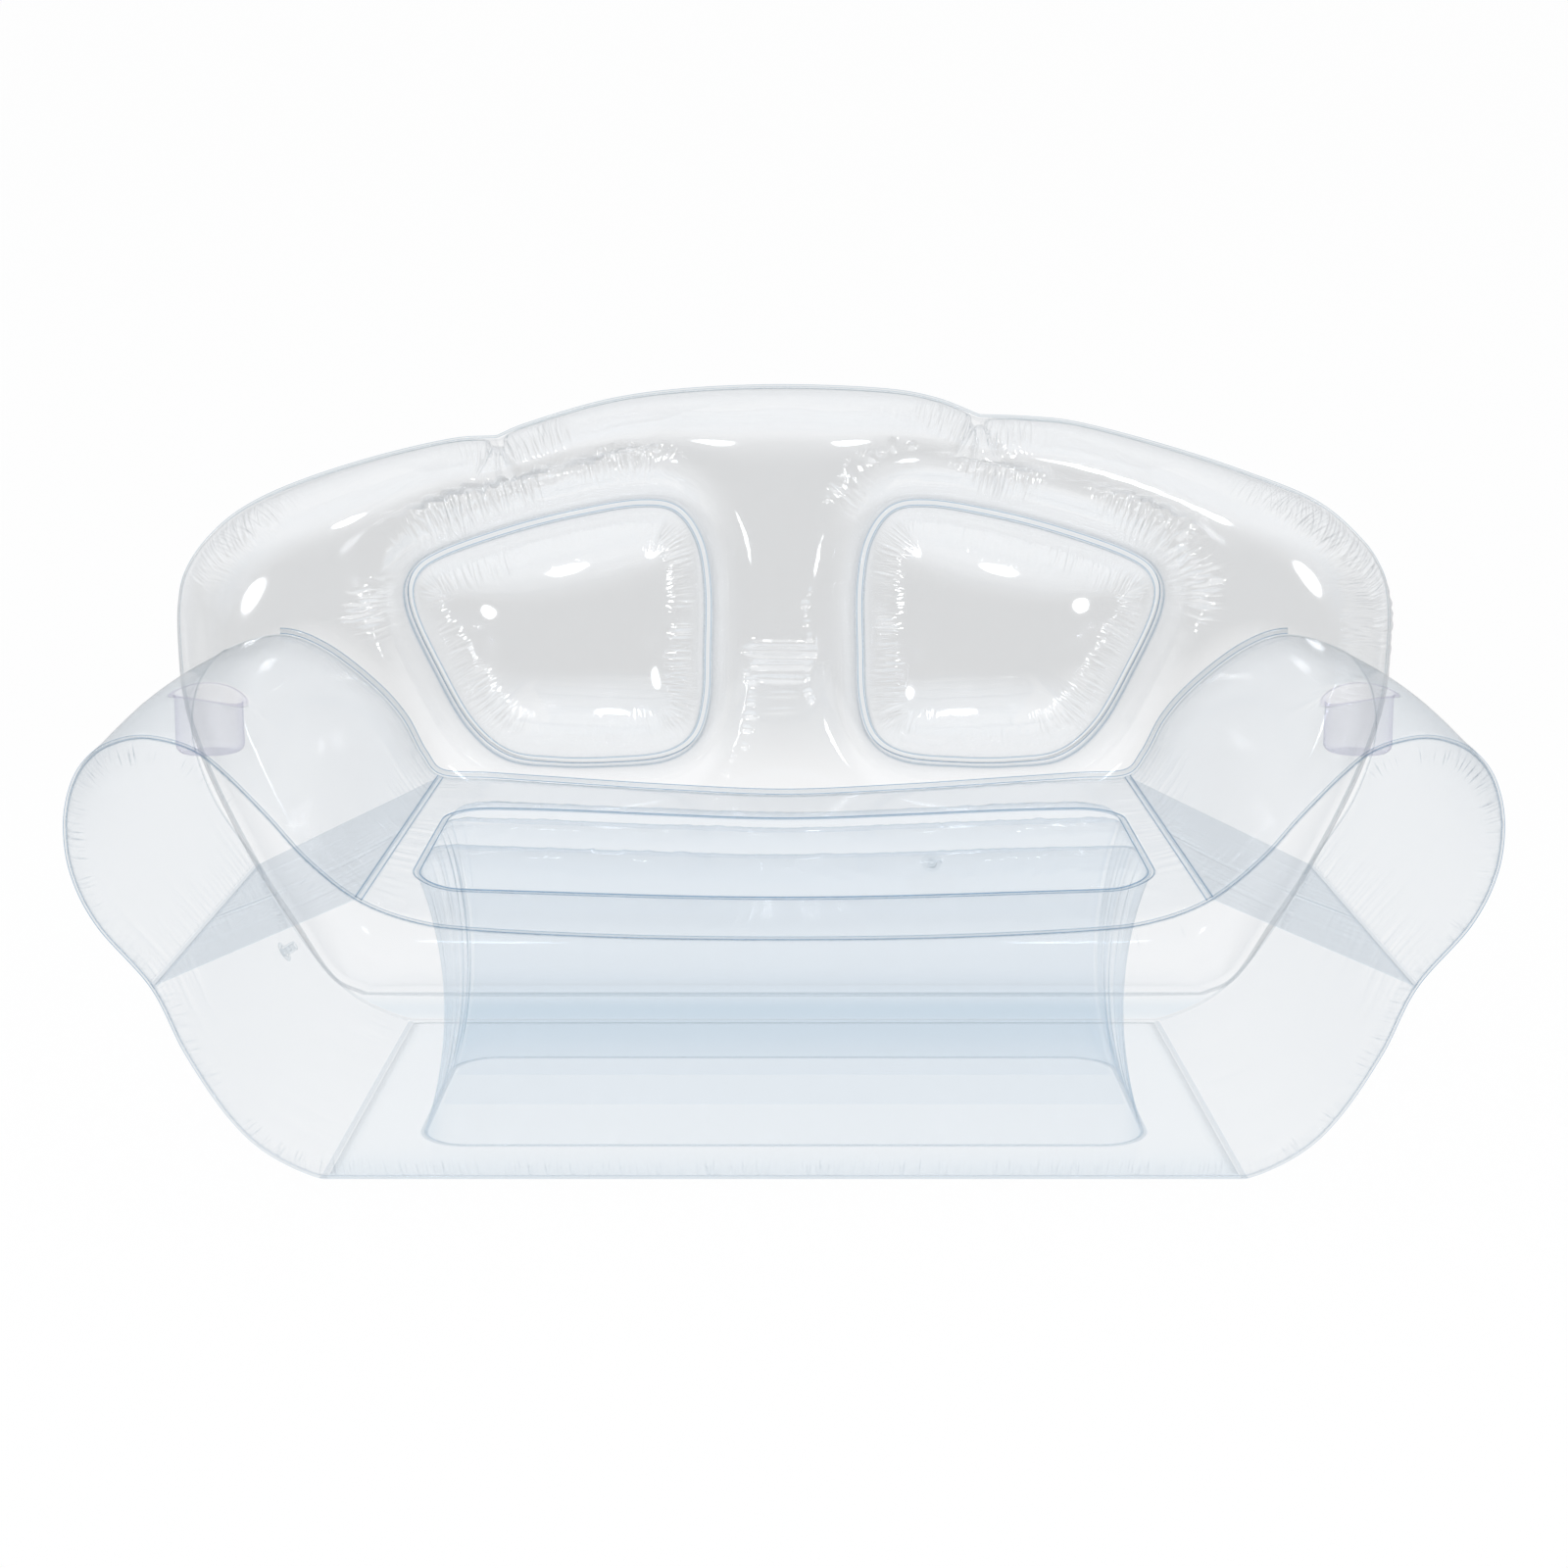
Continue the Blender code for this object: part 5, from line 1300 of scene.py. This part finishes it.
def add_backrest():
    """Front and rear film round the two pillows, joined at the outer seam and at the pillow rings."""
    low, high = weld_edges(BACK_LOOP, SEAM_RADIUS, BACK_SEAM_Y)
    add_weld("backrest_seam_line", low, high, "grey_weld", ["backrest_seam"], bead=SEAM_BEAD)
    rings = [outset(loop, STRIP_EDGE) for loop in PILLOW_LOOPS.values()]
    loops = [outset(BACK_LOOP, -SEAM_REACH), *rings]
    flat, faces = triangulate(loops[0], rings, extra=[beside_creases()])
    stand = SHEET_EDGE + inflated(flat, loops, BACK_HALF_THICKNESS - SHEET_EDGE)
    valve_place = BACK_VALVE_X, BACK_VALVE_HEIGHT
    from_valve = np.linalg.norm(flat - valve_place, axis=1)
    flush = smoothed((VALVE_FLAT_RADIUS - from_valve) / VALVE_FLAT_EDGE)
    stand = stand * (1 - flush) + BACK_HALF_THICKNESS * flush
    places = [nearest(flat, loop) for loop in loops]
    for face, way, seed, faint in (("front", -1, 200, 1.0), ("rear", 1, 230, 0.85)):
        rise, gathers = back_gathers(flat, loops, places, seed)
        if face == "front":
            for crease in BACK_FOLDS + STROKES:
                rise += fold(flat, *crease)
        sheet, turned = pushed(upright(flat, BACK_SEAM_Y + way * stand), faces, rise, (0, way, 0))
        if face == "rear":
            bore = ring_of(VALVE_HOLE_RADIUS, valve_place)
            turned = turned[~is_inside(flat[turned].mean(axis=1), bore)]
        film = add_piece(f"backrest_{face}_sheet", sheet, turned, "grey_film", [f"backrest_{face}_film"],
                         gathers=gathers)
        # Painted light: the stored fade makes the film lighter low down and where it lies behind the base
        store(film.data, "fade", faint * faint_share(flat))


def add_pillow(side, seed):
    """A pillow's ring weld and its front and rear film."""
    loop = PILLOW_LOOPS[side]
    low, high = weld_edges(loop, STRIP_HALF, BACK_SEAM_Y)
    add_weld(f"{side}_pillow_ring_line", low, high, "blue_weld", [f"{side}_pillow_ring_weld"],
             strip="grey_strip")
    outline = outset(loop, -STRIP_EDGE)
    length = length_of(outline)
    flat, faces = triangulate(outline)
    height = PILLOW_HALF_THICKNESS - SHEET_EDGE
    ridged = dome(soft_distance(flat, [outline], PILLOW_BLUR), height, PILLOW_SWELL_REACH)
    rounded = inflated(flat, [outline], 1.0)
    stand = SHEET_EDGE + 0.16 * ridged + 0.84 * height * rounded / rounded.max()
    distance, along = nearest(flat, outline)
    for face, way, step in (("front", -1, 0), ("rear", 1, 3)):
        rise = puckers(distance, along, length, seed + step, *PILLOW_GATHER)
        pull = 0.2 * pull_of(distance, along, length, seed + step + 1, 0.050)
        sheet, turned = pushed(upright(flat, BACK_SEAM_Y + way * stand), faces, rise, (0, way, 0))
        pillow = add_piece(f"{side}_pillow_{face}_pad", sheet, turned, "grey_film",
                           [f"{side}_pillow_{face}"], gathers=(along, distance, length, pull))


def add_backrest_weld():
    """The strip that joins the base's rear seam to the backrest, from arm top to arm top over the seat."""
    arm = REAR.arm_run()
    half = np.concatenate([REAR.seat_run(), arm[1:int(np.argmax(arm[:, 1])) + 1]])
    run = evenly(np.concatenate([mirrored(half)[:0:-1], half]), BACK_STRIP_STEPS)
    along = np.gradient(run, axis=0)
    out = np.column_stack([-along[:, 1], along[:, 0]]) / np.linalg.norm(along, axis=1)[:, None]
    y = REAR_SEAM_Y + SEAM_RADIUS - FLAT_BEAD
    low, high = (upright(run + out * reach, y) for reach in (SEAM_REACH, SEAM_REACH + 2 * STRIP_HALF))
    add_weld("backrest_weld_line", low, high, "blue_weld", ["backrest_weld"], closed=False, bead=FLAT_BEAD)


def moved(points, place):
    """Points given in a frame, in the scene."""
    return np.array([place @ Vector(p) for p in points])


def turned(profile, place, closed):
    """Points and faces of a piece turned about a frame's Z axis from a profile of radii and heights."""
    rings = [lift(ring_of(radius, (0, 0), TURN_STEPS), height) for radius, height in profile]
    points = np.concatenate(rings)
    count = len(points)
    faces = (grid_faces(len(rings) + closed, TURN_STEPS, closed=True) % count).tolist()
    if not closed:
        faces += [list(range(TURN_STEPS))[::-1], list(range(count - TURN_STEPS, count))]
    return moved(points, place), faces


def add_valve(name, body, place, seat):
    """A valve: body with grooved flange, stem and bore, stopper with a rounded head, and the strap."""
    top, low = seat + FLANGE_THICKNESS, seat - STEM_LENGTH
    soft = 0.0004
    rim = [
        (FLANGE_RADIUS - soft, top), (FLANGE_RADIUS, top - soft), (FLANGE_RADIUS, seat + soft),
        (FLANGE_RADIUS - soft, seat), (STEM_RADIUS + soft, seat), (STEM_RADIUS, seat - soft),
        (STEM_RADIUS, low + 0.004), (STEM_RADIUS - 0.0006, low), (BORE_RADIUS, low),
        (BORE_RADIUS, top - soft), (BORE_RADIUS + soft, top), (0.0080, top), (0.0084, top - 0.0003),
        (0.0094, top - 0.0003), (0.0098, top),
    ]
    points, faces = turned(rim, place, closed=True)
    add_piece(f"{name}_valve_flange", points, faces, "valve_plastic", [f"{name}_valve_body"], film=None)
    head = top + FIT_GAP
    crown = head + HEAD_THICKNESS
    plug = [
        (0.0012, crown - 0.0003), (HEAD_RADIUS - 0.0012, crown), (HEAD_RADIUS - soft, crown - 0.0002),
        (HEAD_RADIUS, crown - 0.0007), (HEAD_RADIUS, head + soft), (HEAD_RADIUS - soft, head),
        (PLUG_RADIUS, head), (PLUG_RADIUS - 0.0003, head - 0.003), (PLUG_RADIUS, head - 0.004),
        (PLUG_RADIUS - 0.0006, head - PLUG_LENGTH), (0.0012, head - PLUG_LENGTH),
    ]
    points, faces = turned(plug, place, closed=False)
    add_piece(f"{name}_valve_plug", points, faces, "valve_plastic", [f"{name}_valve_stopper"], body,
              film=None)
    path = smooth_run([(x, top + rise) for x, rise in STRAP_PATH], 28)
    across = np.linspace(-0.5, 0.5, 7) * STRAP_WIDTH
    band = moved([(x, y, z) for x, z in path for y in across], place)
    strap = add_piece(f"{name}_valve_band", band, grid_faces(len(path), len(across)), "valve_plastic",
                      [f"{name}_valve_strap"], None, film=STRAP_THICKNESS)
    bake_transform(strap)


def facing(origin, normal, strap_way):
    """A frame at an origin with its Z along a normal and its X near a given way."""
    z = Vector(normal).normalized()
    x = Vector(strap_way)
    x = (x - x.dot(z) * z).normalized()
    return Matrix.Translation(Vector(origin)) @ Matrix((x, z.cross(x), z)).transposed().to_4x4()


def add_valves():
    """The backrest's valve on its rear film, and the base's on the left lower side near the rear."""
    rear_y = BACK_SEAM_Y + BACK_HALF_THICKNESS
    place = facing((BACK_VALVE_X, rear_y, BACK_VALVE_HEIGHT), (0, 1, 0), (1, 0, 0))
    add_valve("backrest", "backrest_stopper", place, FILM / 2 + FIT_GAP)
    along, back = SIDE_SKIN.share(BASE_VALVE_DROP), BASE_VALVE_Y / SKIN_DEPTH
    reach, rise = SIDE_SKIN.share(FLANGE_RADIUS), FLANGE_RADIUS / SKIN_DEPTH
    middle, lower, upper, rearward = (
        mirrored(SIDE_SKIN.at(a, b))[0]
        for a, b in ((along, back), (along + reach, back), (along - reach, back), (along, back + rise))
    )
    normal = np.cross(upper - lower, rearward - middle)
    normal /= np.linalg.norm(normal)
    proud = max(0, *(np.dot(p - middle, normal) for p in (lower, upper, rearward)))
    add_valve("base", "base_stopper", facing(middle, normal, (0, 1, 0)), proud + FILM / 2 + 2 * FIT_GAP)


# Camera, with its pitch in degrees
LENS = 52.9
CAMERA_DISTANCE = 2.379
CAMERA_HEIGHT = 0.877
CAMERA_PITCH = 79.49

# Studio, with each soft lamp's place, width, height and radiance
STAGE_RADIUS = 3.4
STAGE_BEND = 1.6
STAGE_HEIGHT = 3.2
STAGE_DROP = 0.0006
SURROUND_PROFILE = ((0.3, -0.0003), (3.3, -0.0003), (3.3, 3.1))
DARKEST, LIGHTEST = 0.15, 0.95
LAMP_TARGET = Vector((0, 0, 0.5))
SOFTBOXES = {
    "left_softbox": ((-1.75, -2.5, 0.72), 0.38, 0.46, 9.0),
    "right_softbox": ((1.75, -2.5, 0.95), 0.38, 0.60, 9.0),
    "left_high_softbox": ((-0.85, -2.6, 1.9), 0.52, 0.44, 10.0),
    "right_high_softbox": ((0.85, -2.6, 1.9), 0.52, 0.44, 10.0),
}


def add_camera():
    """The photograph's camera, in front of the sofa at standing height and pitched down."""
    data = bpy.data.cameras.new("camera")
    data.sensor_width = 36
    data.lens = LENS
    camera = linked("camera", data)
    camera.location = (0, FRONT_SEAM_Y - CAMERA_DISTANCE, CAMERA_HEIGHT)
    camera.rotation_euler = (math.radians(CAMERA_PITCH), 0, 0)
    bpy.context.scene.camera = camera


def add_backdrop(name, profile, material, caps=()):
    """A round piece of the studio, turned from a profile of radii and heights."""
    rows = [lift(ring_of(radius, (0, 0), STAGE_STEPS), height) for radius, height in profile]
    mesh = bpy.data.meshes.new(name)
    faces = grid_faces(len(rows), STAGE_STEPS, closed=True).tolist() + [*caps]
    mesh.from_pydata(np.concatenate(rows).tolist(), [], faces)
    mesh.materials.append(material)
    return linked(name, mesh)


def add_stage():
    """A white floor that bends up into a wall all round."""
    nodes = Nodes(bpy.data.materials.new("stage_white"))
    glow = nodes.shader("Emission", {"Strength": 0.955})
    soft = nodes.shader("BsdfDiffuse", {"Color": (0.06, 0.06, 0.06, 1)})
    shown = nodes.shader("AddShader", {0: glow, 1: soft})
    plain = nodes.shader("BsdfDiffuse", {"Color": (0.8, 0.8, 0.8, 1)})
    white = nodes.finish(nodes.shader("MixShader", {0: nodes.shown(), 1: plain, 2: shown}))
    turns = np.linspace(0, math.pi / 2, 12)
    bend = [(STAGE_RADIUS + STAGE_BEND * math.sin(t), STAGE_BEND - STAGE_BEND * math.cos(t)) for t in turns]
    profile = [(1.5, 0.0), *bend, (STAGE_RADIUS + STAGE_BEND, STAGE_HEIGHT)]
    profile = [(radius, height - STAGE_DROP) for radius, height in profile]
    stage = add_backdrop("stage", profile, white, [list(range(STAGE_STEPS))[::-1]])
    stage.data.shade_smooth()


def add_studio():
    """The pale studio: lighter where it is seen than where it lights the sofa."""
    nodes = Nodes(bpy.data.worlds.new("studio"))
    lit = nodes.shader("Background", {"Color": (0.60, 0.62, 0.64, 1)})
    shown = nodes.shader("Background", {"Color": (0.98, 0.99, 1.0, 1)})
    mixed = nodes.shader("MixShader", {0: nodes.shown(least=0.5), 1: lit, 2: shown})
    bpy.context.scene.world = nodes.finish(mixed, "World")


def add_softbox(name, place, width, height, radiance):
    """A large rectangular lamp with soft edges, aimed at the sofa."""
    data = bpy.data.lights.new(name, "AREA")
    data.shape = "RECTANGLE"
    data.size, data.size_y = width, height
    data.energy = radiance * math.pi * width * height
    nodes = Nodes(data)
    on_lamp = nodes.add("ShaderNodeNewGeometry", {}).outputs["Parametric"]
    off = nodes.add("ShaderNodeVectorMath", {0: on_lamp, 1: (0.5, 0.5, 0.0)}, operation="DISTANCE")
    soft = nodes.change(off.outputs["Value"], (0.28, 0.50), (1.0, 0.0))
    nodes.finish(nodes.shader("Emission", {"Strength": soft}), "Light")
    lamp = linked(name, data)
    lamp.location = place
    lamp.rotation_euler = (LAMP_TARGET - lamp.location).to_track_quat("-Z", "Y").to_euler()


def add_surround():
    """A dark floor and wall all round that only show in reflections, and bring out the clear film.

    They fade to white under the sofa, high up and behind it.
    """
    nodes = Nodes(bpy.data.materials.new("dark_surround"))
    place = nodes.place()
    _, back, height = nodes.add("ShaderNodeSeparateXYZ", {0: place}).outputs
    radius = nodes.add("ShaderNodeVectorMath", {0: place}, operation="LENGTH").outputs["Value"]
    below = nodes.change(radius, (0.6, 1.6), (LIGHTEST, DARKEST))
    above = nodes.change(height, (0.8, 2.7), (DARKEST, LIGHTEST))
    behind = nodes.change(back, (-0.6, 2.0), (DARKEST, 0.75))
    lightest = nodes.math("MAXIMUM", nodes.math("MAXIMUM", below, above), behind)
    glow = nodes.finish(nodes.shader("Emission", {"Strength": lightest}))
    card = add_backdrop("dark_surround", SURROUND_PROFILE, glow)
    card.visible_camera = False
    card.visible_diffuse = False
    card.visible_shadow = False


bpy.context.scene.view_settings.view_transform = "Standard"
cycles = bpy.context.scene.cycles
cycles.transparent_max_bounces = 64
cycles.max_bounces = 4
cycles.glossy_bounces = 2
cycles.diffuse_bounces = 1
add_camera()
add_stage()
add_studio()
for name, lamp in SOFTBOXES.items():
    add_softbox(name, *lamp)
add_surround()
add_base_seams()
add_base_panels()
add_seat()
add_seat_insert()
add_seat_supports()
add_floor()
add_arms()
add_sides()
for side in SIDES:
    add_side_welds(side)
    add_arm_web(side)
    add_cup_holder(side)
add_backrest()
add_pillow("left", 300)
add_pillow("right", 310)
add_backrest_weld()
add_valves()
